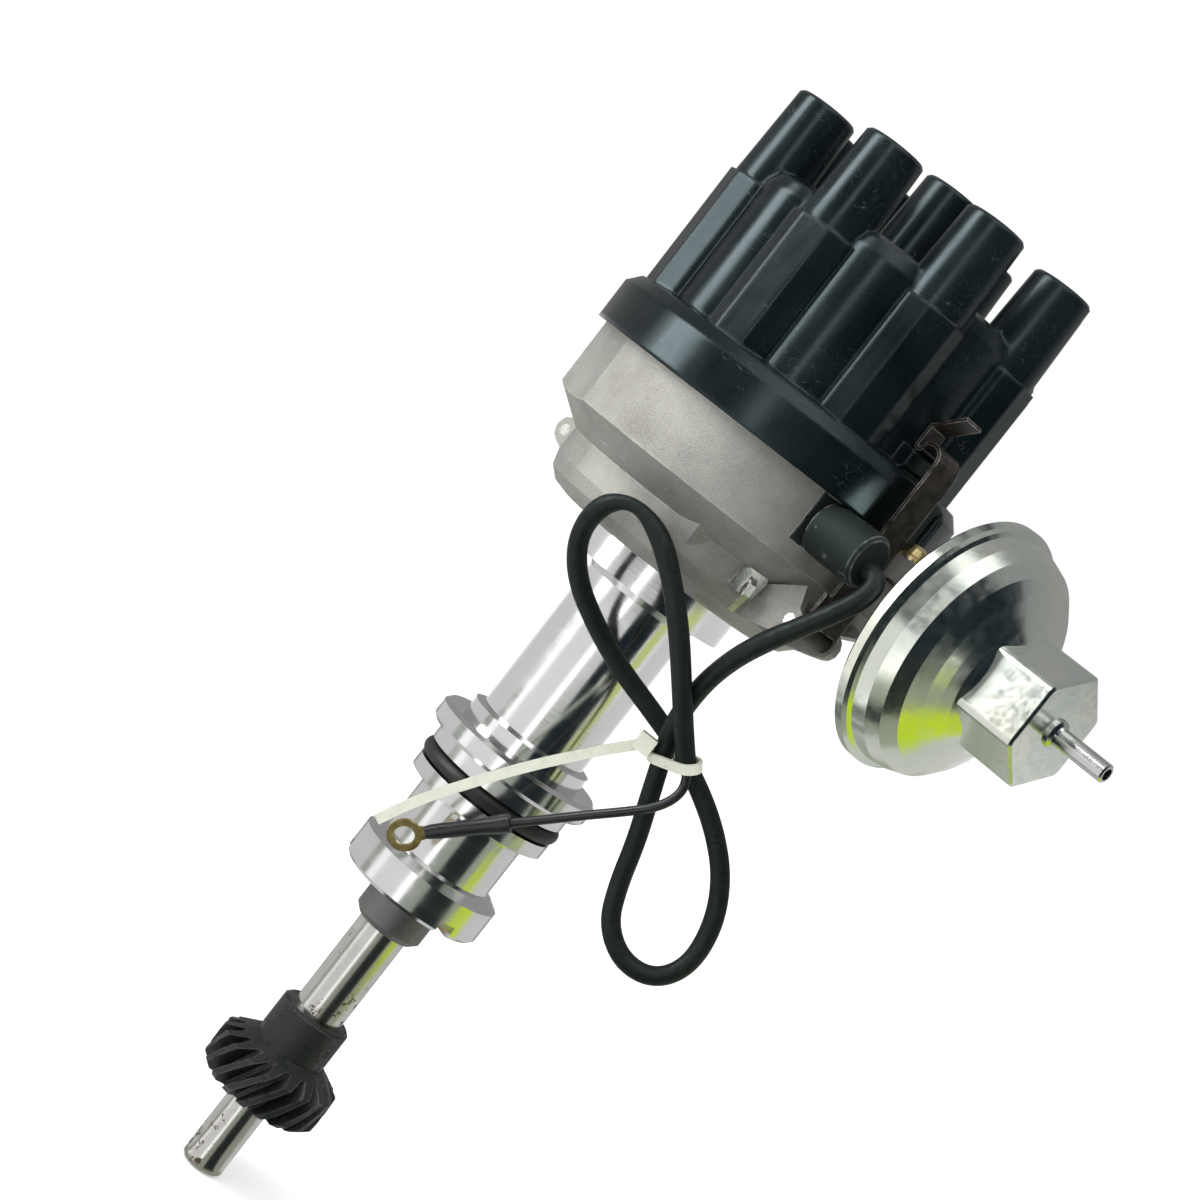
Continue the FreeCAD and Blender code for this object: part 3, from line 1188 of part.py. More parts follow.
def make_bracket(doc, s):
    """Cast bracket that carries the canister on the bowl, with the guide of the link's rod."""
    inner = s.upper_bowl_radius - 6
    outer = s.canister_back_x
    near = s.bracket_near_y
    far = near + s.bracket_depth
    top = s.bracket_top_z
    block_bottom = top - s.bracket_block
    arm_top = s.bracket_arm_z + s.bracket_arm
    solids = [
        block(inner, outer, near, far, block_bottom, top),
        block(inner, outer, near, far, s.bracket_arm_z, arm_top),
        block(inner, outer, s.canister_y + 3.4, far, arm_top, block_bottom),
        block(inner, outer - 3.4, near + 2.4, s.canister_y + 3.4, arm_top, block_bottom),
    ]
    web = prism([vec(inner, 0, 0), vec(outer - 2, 0, 0), vec(inner, -s.bracket_block - 1, 0)],
                4.0)
    web.rotate(ORIGIN, X_AXIS, 90)
    web.translate(vec(0, near + 8, s.bracket_arm_z))
    guide = along_x(Part.makeCylinder(3.2, outer - inner, vec(0, 0, inner)), s.canister_y,
                    s.canister_z)
    bore = along_x(Part.makeCylinder(s.rod_thickness * 0.9 + 2 * s.running_gap, outer,
                                     vec(0, 0, inner - 1)), s.canister_y, s.canister_z)
    bowl = turned([(0, s.turned_collar_z)] + [corner for corner in housing_outline(s)
                                              if corner[1] > s.turned_collar_z + 1]
                  + [(0, s.bowl_top_z)])
    hole = Part.makeCylinder(s.bracket_screw_radius, s.bracket_block + 1,
                             vec(s.bracket_screw_x, s.bracket_screw_y, block_bottom - 1))
    bracket = solids[0].fuse(solids[1:] + [web, guide]).cut([bowl, bore, hole, clip_ears(s, 0)])
    keep = max(bracket.Solids, key=lambda solid: solid.Volume)
    add_feature(doc, "canister_bracket", keep.removeSplitter())
    screw = turned([
        (0, block_bottom), (s.bracket_screw_radius, block_bottom), (s.bracket_screw_radius, top),
        (s.bracket_screw_head + 0.3, top), (s.bracket_screw_head + 0.3, top + 0.9),
        (s.bracket_screw_head - 0.2, top + 0.9), (s.bracket_screw_head, top + 1.5),
        (s.bracket_screw_head - 0.4, top + 3.2), (s.bracket_screw_head - 1.5, top + 4.0),
        (0, top + 4.0)])
    screw.translate(vec(s.bracket_screw_x, s.bracket_screw_y, 0))
    return add_feature(doc, "bracket_screw", screw)


def make_grommet(doc, s):
    """Rubber grommet: curved plate in the notch of the bowl and the sleeve round the lead."""
    plate = sector(s.upper_bowl_radius - s.grommet_depth, s.upper_bowl_radius, s.grommet_from,
                   s.grommet_to, s.grommet_bottom_z, s.bowl_top_z)
    start = s.upper_bowl_radius * 0.9
    sleeve = along_x(turned([
        (0, start), (s.grommet_radius, start), (s.grommet_radius, s.grommet_end_x - 0.8),
        (s.grommet_radius - 0.8, s.grommet_end_x), (0, s.grommet_end_x)]),
        s.grommet_y, s.grommet_z)
    bowl = turned([(0, s.upper_bowl_z), (s.upper_bowl_radius, s.upper_bowl_z),
                   (s.upper_bowl_radius, s.bowl_top_z), (0, s.bowl_top_z)])
    return add_feature(doc, "grommet", plate.fuse(sleeve.cut(bowl)).removeSplitter())


def sheet_piece(corners, inner, thickness):
    """Flat piece of sheet from its corners across and up, that stands off along X."""
    points = [vec(inner, y, z) for y, z in corners]
    return Part.Face(Part.makePolygon(points + points[:1])).extrude(vec(thickness, 0, 0))


def make_earth_tab(doc, s):
    """Bent sheet tab on the lower bowl: a pointed back, a raised flap and a curled tongue."""
    face = s.lower_bowl_radius
    low = s.lower_bowl_top_z - 5.7
    high = s.lower_bowl_top_z
    thick = s.tab_thickness
    back = sheet_piece([(-2.8, high), (1.4, high + 4.6), (3.9, high - 0.5), (3.0, low),
                        (-4.2, low)], face - 1, 1 + thick)
    flap = sheet_piece([(-4.6, low), (-4.6, high - 1.2), (-3.0, high + 0.3), (0.5, high - 0.4),
                        (0.5, high - 2.4), (-1.4, high - 3.4), (-1.4, low)],
                       face + thick, thick)
    hole = Part.makeCylinder(0.5, 4, vec(face + thick / 2, -0.6, high - 1.3), X_AXIS)
    tongue = in_radial_plane(strip_outline([
        (face + thick * 1.2, high - 1.0), (face + 2.7, high - 2.6), (face + 2.9, high - 5.2),
        (face + 1.9, high - 8.2), (face + 1.1, high - 10.2)], thick), s.tongue_width, 0)
    bridge = block(face + thick * 0.8, face + thick * 2, -1.4, 0.5, high - 2.6, high - 0.6)
    tab = back.fuse([flap, bridge]).cut(hole).fuse(tongue)
    bowl = turned([(0, s.turned_collar_z)] + [corner for corner in housing_outline(s)
                                              if corner[1] > s.turned_collar_z + 1]
                  + [(0, s.bowl_top_z)])
    tab.rotate(ORIGIN, Z_AXIS, s.tab_angle)
    tab = tab.cut(bowl)
    keep = max(tab.Solids, key=lambda solid: solid.Volume)
    return add_feature(doc, "earth_tab", keep)


def cord_path(route):
    """Wire of straight runs joined by tangent arcs, and its length and smallest radius."""
    points = [vec(*point) for point in route]
    edges = []
    last = points[0]
    smallest = None
    length = 0.0
    for index in range(1, len(points) - 1):
        back = points[index - 1] - points[index]
        ahead = points[index + 1] - points[index]
        shorter = min(back.Length, ahead.Length)
        back.normalize()
        ahead.normalize()
        half_turn = (math.pi - back.getAngle(ahead)) / 2
        reach = 0.45 * shorter
        radius = reach / math.tan(half_turn)
        smallest = radius if smallest is None else min(smallest, radius)
        start = points[index] + back * reach
        end = points[index] + ahead * reach
        middle = back + ahead
        middle.normalize()
        crown = points[index] + middle * (radius / math.cos(half_turn) - radius)
        edges.append(Part.LineSegment(last, start).toShape())
        edges.append(Part.Arc(start, crown, end).toShape())
        length += (start - last).Length + radius * 2 * half_turn
        last = end
    edges.append(Part.LineSegment(last, points[-1]).toShape())
    length += (points[-1] - last).Length
    return Part.Wire(edges), length, smallest


def cord_tube(doc, label, route, radius):
    """Plain tube of a cord along its route."""
    path, length, smallest = cord_path(route)
    start = vec(*route[0])
    ahead = vec(*route[1]) - start
    section = Part.Wire(Part.makeCircle(radius, start, ahead))
    tube = path.makePipeShell([section], True, True)
    expected = math.pi * radius * radius * length
    print("%s length %.1f smallest radius %.1f volume %.4f" % (
        label, length, smallest, tube.Volume / expected))
    return add_feature(doc, label, tube)


def make_lead(doc, s):
    """Black loom, the thin wire that leaves it, its shrink sleeve and its ring terminal."""
    cord_tube(doc, "lead_loom", LOOM_ROUTE, s.loom_radius)
    cord_tube(doc, "lead_wire", WIRE_ROUTE, s.wire_radius)
    end = vec(*WIRE_ROUTE[-1])
    ahead = end - vec(*WIRE_ROUTE[-2])
    ahead.normalize()
    sleeve = Part.makeCylinder(s.sleeve_radius, 7.5, end, ahead)
    add_feature(doc, "wire_sleeve", sleeve)
    side = ahead.cross(vec(*WIRE_ROUTE[-1]).normalize())
    side.normalize()
    normal = side.cross(ahead)
    normal.normalize()
    start = end + ahead * 7.5
    eye_centre = start + ahead * (s.eyelet_radius + 0.8)
    half = normal * (s.eyelet_thickness / 2)
    disc = Part.makeCylinder(s.eyelet_radius, s.eyelet_thickness, eye_centre - half, normal)
    neck_corners = [start - side * 1.5 - half, start + side * 1.5 - half,
                    eye_centre + side * 2.6 - half, eye_centre - side * 2.6 - half]
    neck = Part.Face(Part.makePolygon(neck_corners + neck_corners[:1])).extrude(
        normal * s.eyelet_thickness)
    hole = Part.makeCylinder(s.eyelet_hole, 4, eye_centre - normal * 2, normal)
    return add_feature(doc, "ring_terminal", disc.fuse(neck).cut(hole).removeSplitter())


def make_cable_tie(doc, s):
    """Nylon tie round the gathered lead: a loop, its square head and the long tail."""
    head = vec(37.0, -14.6, 30.2)
    route = [(37.0, -14.6, 30.2), (30.0, -21.0, 20.0), (22.6, -26.6, 8.6), (15.4, -31.2, -3.4),
             (9.6, -34.6, -13.6), (5.2, -36.6, -23.3)]
    path, _, _ = cord_path(route)
    ahead = vec(*route[1]) - vec(*route[0])
    ahead.normalize()
    side = ahead.cross(vec(0.58, -0.81, 0))
    side.normalize()
    flat = side.cross(ahead)
    start = vec(*route[0])
    half_side = side * (s.tie_width / 2)
    half_flat = flat * (s.tie_thickness / 2)
    corners = [start + half_side + half_flat, start - half_side + half_flat,
               start - half_side - half_flat, start + half_side - half_flat]
    section = Part.makePolygon(corners + corners[:1])
    tail = path.makePipeShell([section], True, True)
    return tail, head


def tie_loop(s):
    """Band of the tie round the two strands at the crossing."""
    first = vec(39.8, -10.2, 31.0)
    second = vec(46.9, -9.6, 31.6)
    along = vec(0.28, 0.50, -0.82)
    along.normalize()
    middle = (first + second) * 0.5
    reach = (second - first).Length / 2
    frame = FreeCAD.Placement(middle, FreeCAD.Rotation(second - first, along.cross(second - first),
                                                       along, "ZXY"))

    def stadium(radius, width):
        solid = block(-reach, reach, -radius, radius, -width / 2, width / 2)
        ends = [Part.makeCylinder(radius, width, vec(side * reach, 0, -width / 2))
                for side in (-1, 1)]
        return solid.fuse(ends)

    inner = s.loom_radius + 0.45
    band = stadium(inner + s.tie_thickness * 0.8, s.tie_width).cut(
        stadium(inner, s.tie_width + 2))
    band.Placement = frame
    return band


def make_tie(doc, s):
    """Cable tie with its loop, square head and tail."""
    tail, head = make_cable_tie(doc, s)
    box = block(-1.6, 2.6, -2.2, 2.2, -2.2, 2.2)
    box.rotate(ORIGIN, Z_AXIS, -54.5)
    box.translate(head)
    return add_feature(doc, "cable_tie", tail.fuse([box, tie_loop(s)]).removeSplitter())


def check_and_export(doc):
    """Stops on a failed object or shape, then writes each sub-part to its own file."""
    doc.recompute()
    for item in doc.Objects:
        if "Invalid" in item.State or "Error" in item.State:
            raise RuntimeError("%s failed: %s" % (item.Label, item.State))
    parts = [item for item in doc.Objects
             if item.TypeId in ("PartDesign::Body", "Part::Feature", "Part::Cylinder",
                                "Part::Torus")]
    for item in parts:
        if item.Shape.isNull() or not item.Shape.isValid():
            raise RuntimeError("%s has no valid shape" % item.Label)
    os.makedirs("parts", exist_ok=True)
    for item in parts:
        item.Shape.exportStep("parts/%s.step" % item.Label)


doc = FreeCAD.newDocument("distributor")
sheet = make_sheet(doc)
sizes = Sizes(sheet)

make_shaft(doc)
make_gear(doc, sizes)
make_roll_pins(doc)
make_thrust_collar(doc, sizes)
make_bushings(doc)
make_governor_washer(doc)
make_governor_plate(doc, sizes)
make_weight(doc, sizes, "weight_a", 0)
make_weight(doc, sizes, "weight_b", 180)
make_breaker_cam(doc, sizes)
make_rotor(doc, sizes)

make_housing(doc, sizes)
make_o_ring(doc)
make_hinge_pins(doc, sizes)
make_clip(doc, sizes, "clip_a", 0)
make_clip(doc, sizes, "clip_b", 180)
make_base_plate(doc, sizes)
make_breaker_plate(doc, sizes)
make_contact_set(doc, sizes)
make_condenser(doc, sizes)

make_canister(doc, sizes)
make_vacuum_link(doc, sizes)
make_bracket(doc, sizes)
make_grommet(doc, sizes)
make_earth_tab(doc, sizes)

make_cap(doc, sizes)
make_terminals(doc, sizes)
make_brush(doc, sizes)

make_lead(doc, sizes)
make_tie(doc, sizes)

check_and_export(doc)
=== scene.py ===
# Ignition distributor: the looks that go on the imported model.
# Lengths are in metres, apart from the routes of the lead and the strap, which are in
# millimetres. Every piece lies where the model's own frame puts it.
import math

import bpy
from mathutils import Matrix, Vector


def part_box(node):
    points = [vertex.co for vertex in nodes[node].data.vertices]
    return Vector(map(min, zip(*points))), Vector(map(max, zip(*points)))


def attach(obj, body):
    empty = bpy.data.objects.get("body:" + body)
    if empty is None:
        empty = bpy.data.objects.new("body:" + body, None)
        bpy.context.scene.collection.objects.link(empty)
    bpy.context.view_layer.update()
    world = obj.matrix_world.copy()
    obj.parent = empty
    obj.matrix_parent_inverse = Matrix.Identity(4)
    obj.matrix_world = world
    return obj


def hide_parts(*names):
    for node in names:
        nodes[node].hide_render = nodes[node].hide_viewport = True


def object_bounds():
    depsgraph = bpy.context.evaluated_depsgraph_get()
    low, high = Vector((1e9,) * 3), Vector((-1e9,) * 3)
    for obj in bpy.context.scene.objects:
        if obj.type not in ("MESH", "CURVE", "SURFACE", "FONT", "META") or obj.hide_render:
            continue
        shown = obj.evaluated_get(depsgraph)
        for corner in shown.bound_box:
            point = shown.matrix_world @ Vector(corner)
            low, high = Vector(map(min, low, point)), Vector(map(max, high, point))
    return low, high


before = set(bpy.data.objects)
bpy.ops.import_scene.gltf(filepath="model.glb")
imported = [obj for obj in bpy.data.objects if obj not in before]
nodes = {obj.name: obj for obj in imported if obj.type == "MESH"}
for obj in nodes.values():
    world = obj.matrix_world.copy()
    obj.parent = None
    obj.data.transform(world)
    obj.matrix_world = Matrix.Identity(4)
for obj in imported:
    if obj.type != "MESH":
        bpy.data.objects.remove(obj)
model_low, model_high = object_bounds()


# --- Camera ---------------------------------------------------------------------------------
# The photograph was taken from the side of the canister, a little above the clamp collar, and
# was turned so that the shaft runs to the lower left corner.
def add_object(name, data):
    """A new object in the scene with that mesh, curve, camera or lamp."""
    made = bpy.data.objects.new(name, data)
    bpy.context.scene.collection.objects.link(made)
    return made


camera_azimuth = math.radians(35.5)
camera_pitch = math.radians(5.0)
camera_yaw = math.radians(-0.699)
camera_roll = math.radians(37.836)
camera_distance = 0.62328
camera_height = 0.10179
across = Vector((math.cos(camera_azimuth), math.sin(camera_azimuth), 0))
away = Vector((-math.sin(camera_azimuth), math.cos(camera_azimuth), 0))
look = (across * math.sin(camera_yaw) + away * math.cos(camera_yaw)) * math.cos(camera_pitch)
look -= Vector((0, 0, math.sin(camera_pitch)))
level = across * math.cos(camera_yaw) - away * math.sin(camera_yaw)
upward = level.cross(look)
right = level * math.cos(camera_roll) + upward * math.sin(camera_roll)
top = upward * math.cos(camera_roll) - level * math.sin(camera_roll)
camera_data = bpy.data.cameras.new("photo_camera")
camera_data.sensor_width = 36.0
camera_data.lens = 76.24
camera_data.clip_start = 0.01
camera_data.clip_end = 60.0
camera = add_object("photo_camera", camera_data)
camera_spot = away * -camera_distance + Vector((0, 0, camera_height))
camera_turn = Matrix((right, top, -look)).transposed().to_4x4()
camera.matrix_world = Matrix.Translation(camera_spot) @ camera_turn
bpy.context.scene.camera = camera


# --- Housing --------------------------------------------------------------------------------
# One aluminium casting: a bead-blasted bowl with a fine warm grey grain over a shank that was
# turned bright on a lathe, with flat bright lands and thin tool marks round the axis.
def feed(tree, socket, value):
    """Links another node's output to a socket, or sets a plain value on it."""
    if isinstance(value, bpy.types.NodeSocket):
        tree.links.new(value, socket)
    else:
        socket.default_value = value


def place(tree, kind, inputs=None, **settings):
    """One node, with its settings and with values or links on its inputs."""
    node = tree.nodes.new(kind)
    for name, value in settings.items():
        setattr(node, name, value)
    for name, value in (inputs or {}).items():
        feed(tree, node.inputs[name], value)
    return node


def shader_group(name, inputs, *outputs):
    """An empty group that takes a position and numbers and puts out numbers; returns its tree
    and the nodes that lead in and out."""
    tree = bpy.data.node_groups.new(name, "ShaderNodeTree")
    tree.interface.new_socket("Position", in_out="INPUT", socket_type="NodeSocketVector")
    for label, start in inputs.items():
        socket = tree.interface.new_socket(label, in_out="INPUT", socket_type="NodeSocketFloat")
        socket.default_value = start
    for label in outputs:
        tree.interface.new_socket(label, in_out="OUTPUT", socket_type="NodeSocketFloat")
    return tree, place(tree, "NodeGroupInput"), place(tree, "NodeGroupOutput")


def noise_of(tree, vector, scale, detail=3.0, roughness=0.55, distortion=0.0):
    """Noise value of a position, from 0 to 1."""
    return place(tree, "ShaderNodeTexNoise", {
        "Vector": vector, "Scale": scale, "Detail": detail, "Roughness": roughness,
        "Distortion": distortion}).outputs["Fac"]


def spread(tree, value, low, high, to_low=0.0, to_high=1.0):
    """The value between low and high, stretched to the new ends."""
    return place(tree, "ShaderNodeMapRange", {
        "Value": value, "From Min": low, "From Max": high,
        "To Min": to_low, "To Max": to_high}).outputs["Result"]


def calculate(tree, operation, first, second=0.0):
    """One operation on two numbers."""
    node = place(tree, "ShaderNodeMath", operation=operation)
    for socket, value in zip(node.inputs, (first, second)):
        feed(tree, socket, value)
    return node.outputs["Value"]


def times(tree, first, second):
    """Product of two numbers."""
    return calculate(tree, "MULTIPLY", first, second)


def plus(tree, first, second):
    """Sum of two numbers."""
    return calculate(tree, "ADD", first, second)


def blend_colour(tree, share, first, second):
    """Colour from the first to the second as the share goes from 0 to 1."""
    node = place(tree, "ShaderNodeMix", data_type="RGBA")
    share_socket, first_socket, second_socket = (node.inputs[index] for index in (0, 6, 7))
    feed(tree, share_socket, share)
    feed(tree, first_socket, first)
    feed(tree, second_socket, second)
    return node.outputs[2]


def cast_grain_group():
    """Skin of a blasted casting: fine grain with a few pits and slow cloudy shade."""
    tree, way_in, way_out = shader_group("cast_grain", {"Grain": 2600.0, "Pits": 0.5},
                                         "Shade", "Height")
    position = way_in.outputs["Position"]
    fine = noise_of(tree, position, way_in.outputs["Grain"], 4.0, 0.7)
    cloud = noise_of(tree, position, 60.0, 3.0)
    pit_field = noise_of(tree, position, times(tree, way_in.outputs["Grain"], 0.33))
    pits = times(tree, spread(tree, pit_field, 0.70, 0.78), way_in.outputs["Pits"])
    shade = plus(tree, times(tree, fine, 0.45), times(tree, cloud, 0.55))
    tree.links.new(calculate(tree, "SUBTRACT", shade, pits), way_out.inputs["Shade"])
    tree.links.new(calculate(tree, "SUBTRACT", fine, pits), way_out.inputs["Height"])
    return tree


def lathe_lines_group():
    """Tool marks: shade and height that change only along the axis, with a little wander."""
    tree, way_in, way_out = shader_group("lathe_lines", {"Lines": 2200.0}, "Shade", "Height")
    stretched = place(tree, "ShaderNodeMapping", {
        "Vector": way_in.outputs["Position"], "Scale": (0.004, 0.004, 1.0)})
    fine = noise_of(tree, stretched.outputs["Vector"], way_in.outputs["Lines"], 2.0, 0.6)
    broad = noise_of(tree, stretched.outputs["Vector"], 160.0, 2.0)
    tree.links.new(broad, way_out.inputs["Shade"])
    tree.links.new(fine, way_out.inputs["Height"])
    return tree


def use_group(tree, group, **inputs):
    """A group placed in a material, with its named inputs; returns its outputs."""
    return place(tree, "ShaderNodeGroup", inputs, node_tree=group).outputs


def new_finish(name, **plain):
    """A material with its Principled shader, and the piece's own Object position."""
    material = bpy.data.materials.new(name)
    material.use_nodes = True
    tree = material.node_tree
    shader = tree.nodes["Principled BSDF"]
    for label, value in plain.items():
        shader.inputs[label.replace("_", " ")].default_value = value
    position = place(tree, "ShaderNodeTexCoord").outputs["Object"]
    return material, tree, shader, position


def colour_by(tree, shader, share, first, second):
    """Base colour from the first to the second as the share goes from 0 to 1."""
    feed(tree, shader.inputs["Base Color"], blend_colour(tree, share, first, second))


def roughness_by(tree, shader, shade, low, high):
    """Roughness from low to high over the middle range of a shade."""
    feed(tree, shader.inputs["Roughness"], spread(tree, shade, 0.3, 0.7, low, high))


def raise_by(tree, shader, height, depth, strength, under=None):
    """Bump of that depth in metres on the shader's normal, over another normal if given."""
    bump = place(tree, "ShaderNodeBump", {"Height": height, "Distance": depth,
                                          "Strength": strength})
    if under is not None:
        tree.links.new(under, bump.inputs["Normal"])
    tree.links.new(bump.outputs["Normal"], shader.inputs["Normal"])


def paint(material, *names):
    """These nodes of the model take that finish."""
    for name in names:
        nodes[name].data.materials.clear()
        nodes[name].data.materials.append(material)


def scratches_group():
    """Sparse fine scratches that run across each other, cut up by slow noise."""
    tree, way_in, way_out = shader_group("scratches", {"Length": 30.0, "Amount": 0.5}, "Mask")
    total = None
    for angles, gate_scale in (((0.5, 0.3, 0.9), 42.0), ((1.9, 0.8, 0.2), 55.0)):
        drawn = place(tree, "ShaderNodeMapping", {"Vector": way_in.outputs["Position"],
                                                  "Rotation": angles, "Scale": (1.0, 9.0, 9.0)})
        field = noise_of(tree, drawn.outputs["Vector"], way_in.outputs["Length"], 1.0, 0.4)
        away_from = calculate(tree, "ABSOLUTE", calculate(tree, "SUBTRACT", field, 0.5))
        thin = spread(tree, away_from, 0.0, 0.0035, 1.0, 0.0)
        gate = spread(tree, noise_of(tree, way_in.outputs["Position"], gate_scale, 2.0),
                      0.56, 0.62)
        part = times(tree, thin, gate)
        total = part if total is None else calculate(tree, "MAXIMUM", total, part)
    tree.links.new(times(tree, total, way_in.outputs["Amount"]), way_out.inputs["Mask"])
    return tree


def edge_wear_group():
    """Share of rubbed metal near sharp edges, broken up by noise."""
    tree, way_in, way_out = shader_group("edge_wear", {"Width": 0.0004, "Breakup": 900.0}, "Mask")
    rounded = place(tree, "ShaderNodeBevel", {"Radius": way_in.outputs["Width"]}, samples=4)
    straight = place(tree, "ShaderNodeNewGeometry").outputs["Normal"]
    dot = place(tree, "ShaderNodeVectorMath", operation="DOT_PRODUCT")
    tree.links.new(rounded.outputs["Normal"], dot.inputs[0])
    tree.links.new(straight, dot.inputs[1])
    edge = spread(tree, dot.outputs["Value"], 0.98, 0.86)
    breakup = noise_of(tree, way_in.outputs["Position"], way_in.outputs["Breakup"], 3.0)
    broken = spread(tree, breakup, 0.36, 0.56)
    tree.links.new(times(tree, edge, broken), way_out.inputs["Mask"])
    return tree


cast_grain = cast_grain_group()
lathe_lines = lathe_lines_group()
scratches = scratches_group()
edge_wear = edge_wear_group()
turned_to_z = 0.0634
cast_from_z = turned_to_z + 0.0003
seam_bearing = math.radians(110.0)
seam_half_width = 0.00015
seam_foot = 0.0004

housing_finish, tree, shader, position = new_finish("cast_and_turned_aluminium")
height_up = place(tree, "ShaderNodeSeparateXYZ", {"Vector": position}).outputs["Z"]
is_cast = spread(tree, height_up, turned_to_z, cast_from_z)
skin = use_group(tree, cast_grain, Position=position, Grain=2300.0, Pits=0.35)
lines = use_group(tree, lathe_lines, Position=position, Lines=1500.0)
cast_colour = blend_colour(tree, spread(tree, skin["Shade"], 0.3, 0.72),
                           (0.27, 0.265, 0.242, 1), (0.53, 0.525, 0.485, 1))
turned_colour = blend_colour(tree, lines["Shade"], (0.70, 0.71, 0.71, 1), (0.82, 0.82, 0.82, 1))
scraped = use_group(tree, scratches, Position=position, Length=30.0, Amount=0.7)
cast_colour = blend_colour(tree, scraped["Mask"], cast_colour, (0.80, 0.79, 0.76, 1))
worn = use_group(tree, edge_wear, Position=position, Width=0.0007, Breakup=350.0)
cast_colour = blend_colour(tree, times(tree, worn["Mask"], 0.6), cast_colour,
                           (0.78, 0.77, 0.73, 1))
colour_by(tree, shader, is_cast, turned_colour, cast_colour)
cast_rough = spread(tree, skin["Shade"], 0.3, 0.7, 0.62, 0.48)
turned_rough = spread(tree, lines["Shade"], 0.3, 0.7, 0.10, 0.22)
rough = plus(tree, times(tree, cast_rough, is_cast),
             times(tree, turned_rough, calculate(tree, "SUBTRACT", 1.0, is_cast)))
tree.links.new(rough, shader.inputs["Roughness"])
tree.links.new(spread(tree, is_cast, 0.0, 1.0, 1.0, 0.8), shader.inputs["Metallic"])
turned_relief = times(tree, lines["Height"], spread(tree, is_cast, 0.0, 1.0, 0.05, 0.0))
relief = plus(tree, times(tree, skin["Height"], is_cast), turned_relief)

# The parting line of the mould stands up a little on the cast skin.
seam_spot = place(tree, "ShaderNodeMapping", {
    "Vector": position, "Rotation": (0.0, 0.0, seam_bearing)}).outputs["Vector"]
seam_parts = place(tree, "ShaderNodeSeparateXYZ", {"Vector": seam_spot})
off_seam = calculate(tree, "ABSOLUTE", seam_parts.outputs["Y"])
seam = times(tree, spread(tree, off_seam, seam_half_width, seam_foot, 1.0, 0.0), is_cast)
relief = plus(tree, relief, times(tree, seam, 1.2))
raise_by(tree, shader, relief, 0.00022, 0.9)
paint(housing_finish, "housing")


# --- Shaft, thrust collar and drive gear ----------------------------------------------------
# A ground steel shaft with oil specks carries a grey sintered thrust collar and a helical gear
# with a black phosphate coat. Roll pins through the hubs hold both.
def specks_group():
    """Scattered spots of oil, thicker where the slow noise is high."""
    tree, way_in, way_out = shader_group("oil_specks", {"Size": 500.0, "Amount": 0.5}, "Mask")
    position = way_in.outputs["Position"]
    fine = noise_of(tree, position, way_in.outputs["Size"], 4.0, 0.65)
    slow = noise_of(tree, position, 70.0, 2.0)
    total = plus(tree, fine, times(tree, slow, 0.5))
    total = plus(tree, total, times(tree, way_in.outputs["Amount"], 0.2))
    tree.links.new(spread(tree, total, 0.98, 1.06), way_out.inputs["Mask"])
    return tree


oil_specks = specks_group()

shaft_finish, tree, shader, position = new_finish("ground_steel_with_oil", Metallic=1.0)
lines = use_group(tree, lathe_lines, Position=position, Lines=3000.0)
oil = use_group(tree, oil_specks, Position=position, Size=420.0, Amount=0.56)
steel_colour = blend_colour(tree, lines["Shade"], (0.56, 0.54, 0.50, 1), (0.74, 0.73, 0.71, 1))
colour_by(tree, shader, oil["Mask"], steel_colour, (0.10, 0.075, 0.05, 1))
tree.links.new(spread(tree, oil["Mask"], 0.0, 1.0, 0.2, 0.42), shader.inputs["Roughness"])
raise_by(tree, shader, lines["Height"], 0.00001, 0.5)
paint(shaft_finish, "shaft")

gear_finish, tree, shader, position = new_finish("black_phosphated_iron")
skin = use_group(tree, cast_grain, Position=position, Grain=1500.0, Pits=0.4)
worn = use_group(tree, edge_wear, Position=position, Width=0.0005, Breakup=700.0)
coat_colour = blend_colour(tree, skin["Shade"], (0.003, 0.0045, 0.004, 1),
                           (0.021, 0.026, 0.023, 1))
colour_by(tree, shader, times(tree, worn["Mask"], 0.4), coat_colour, (0.33, 0.33, 0.31, 1))
greasy = spread(tree, noise_of(tree, position, 240.0, 3.0), 0.50, 0.60, 0.0, 0.26)
tree.links.new(calculate(tree, "SUBTRACT", spread(tree, skin["Shade"], 0.3, 0.7, 0.38, 0.6),
                         greasy), shader.inputs["Roughness"])
tree.links.new(plus(tree, 0.25, times(tree, worn["Mask"], 0.5)), shader.inputs["Metallic"])
raise_by(tree, shader, skin["Height"], 0.00025, 0.7)
paint(gear_finish, "drive_gear", "gear_pin")

sintered_finish, tree, shader, position = new_finish("sintered_iron", Metallic=0.75)
skin = use_group(tree, cast_grain, Position=position, Grain=3200.0, Pits=0.7)
worn = use_group(tree, edge_wear, Position=position, Width=0.0003, Breakup=900.0)
iron_colour = blend_colour(tree, skin["Shade"], (0.085, 0.084, 0.082, 1), (0.25, 0.245, 0.24, 1))
colour_by(tree, shader, times(tree, worn["Mask"], 0.4), iron_colour, (0.5, 0.49, 0.47, 1))
roughness_by(tree, shader, skin["Shade"], 0.5, 0.36)
raise_by(tree, shader, skin["Height"], 0.00008, 0.5)
paint(sintered_finish, "thrust_collar", "collar_pin", "governor_plate", "governor_washer",
      "weight_a", "weight_b", "breaker_cam")


def grained_finish(name, grain, pits, dark, pale, rough, depth, strength, **plain):
    """Material whose colour, roughness and bump follow one grain; rough is its two ends."""
    material, tree, shader, position = new_finish(name, **plain)
    skin = use_group(tree, cast_grain, Position=position, Grain=grain, Pits=pits)
    colour_by(tree, shader, skin["Shade"], dark, pale)
    roughness_by(tree, shader, skin["Shade"], *rough)
    raise_by(tree, shader, skin["Height"], depth, strength)
    return material


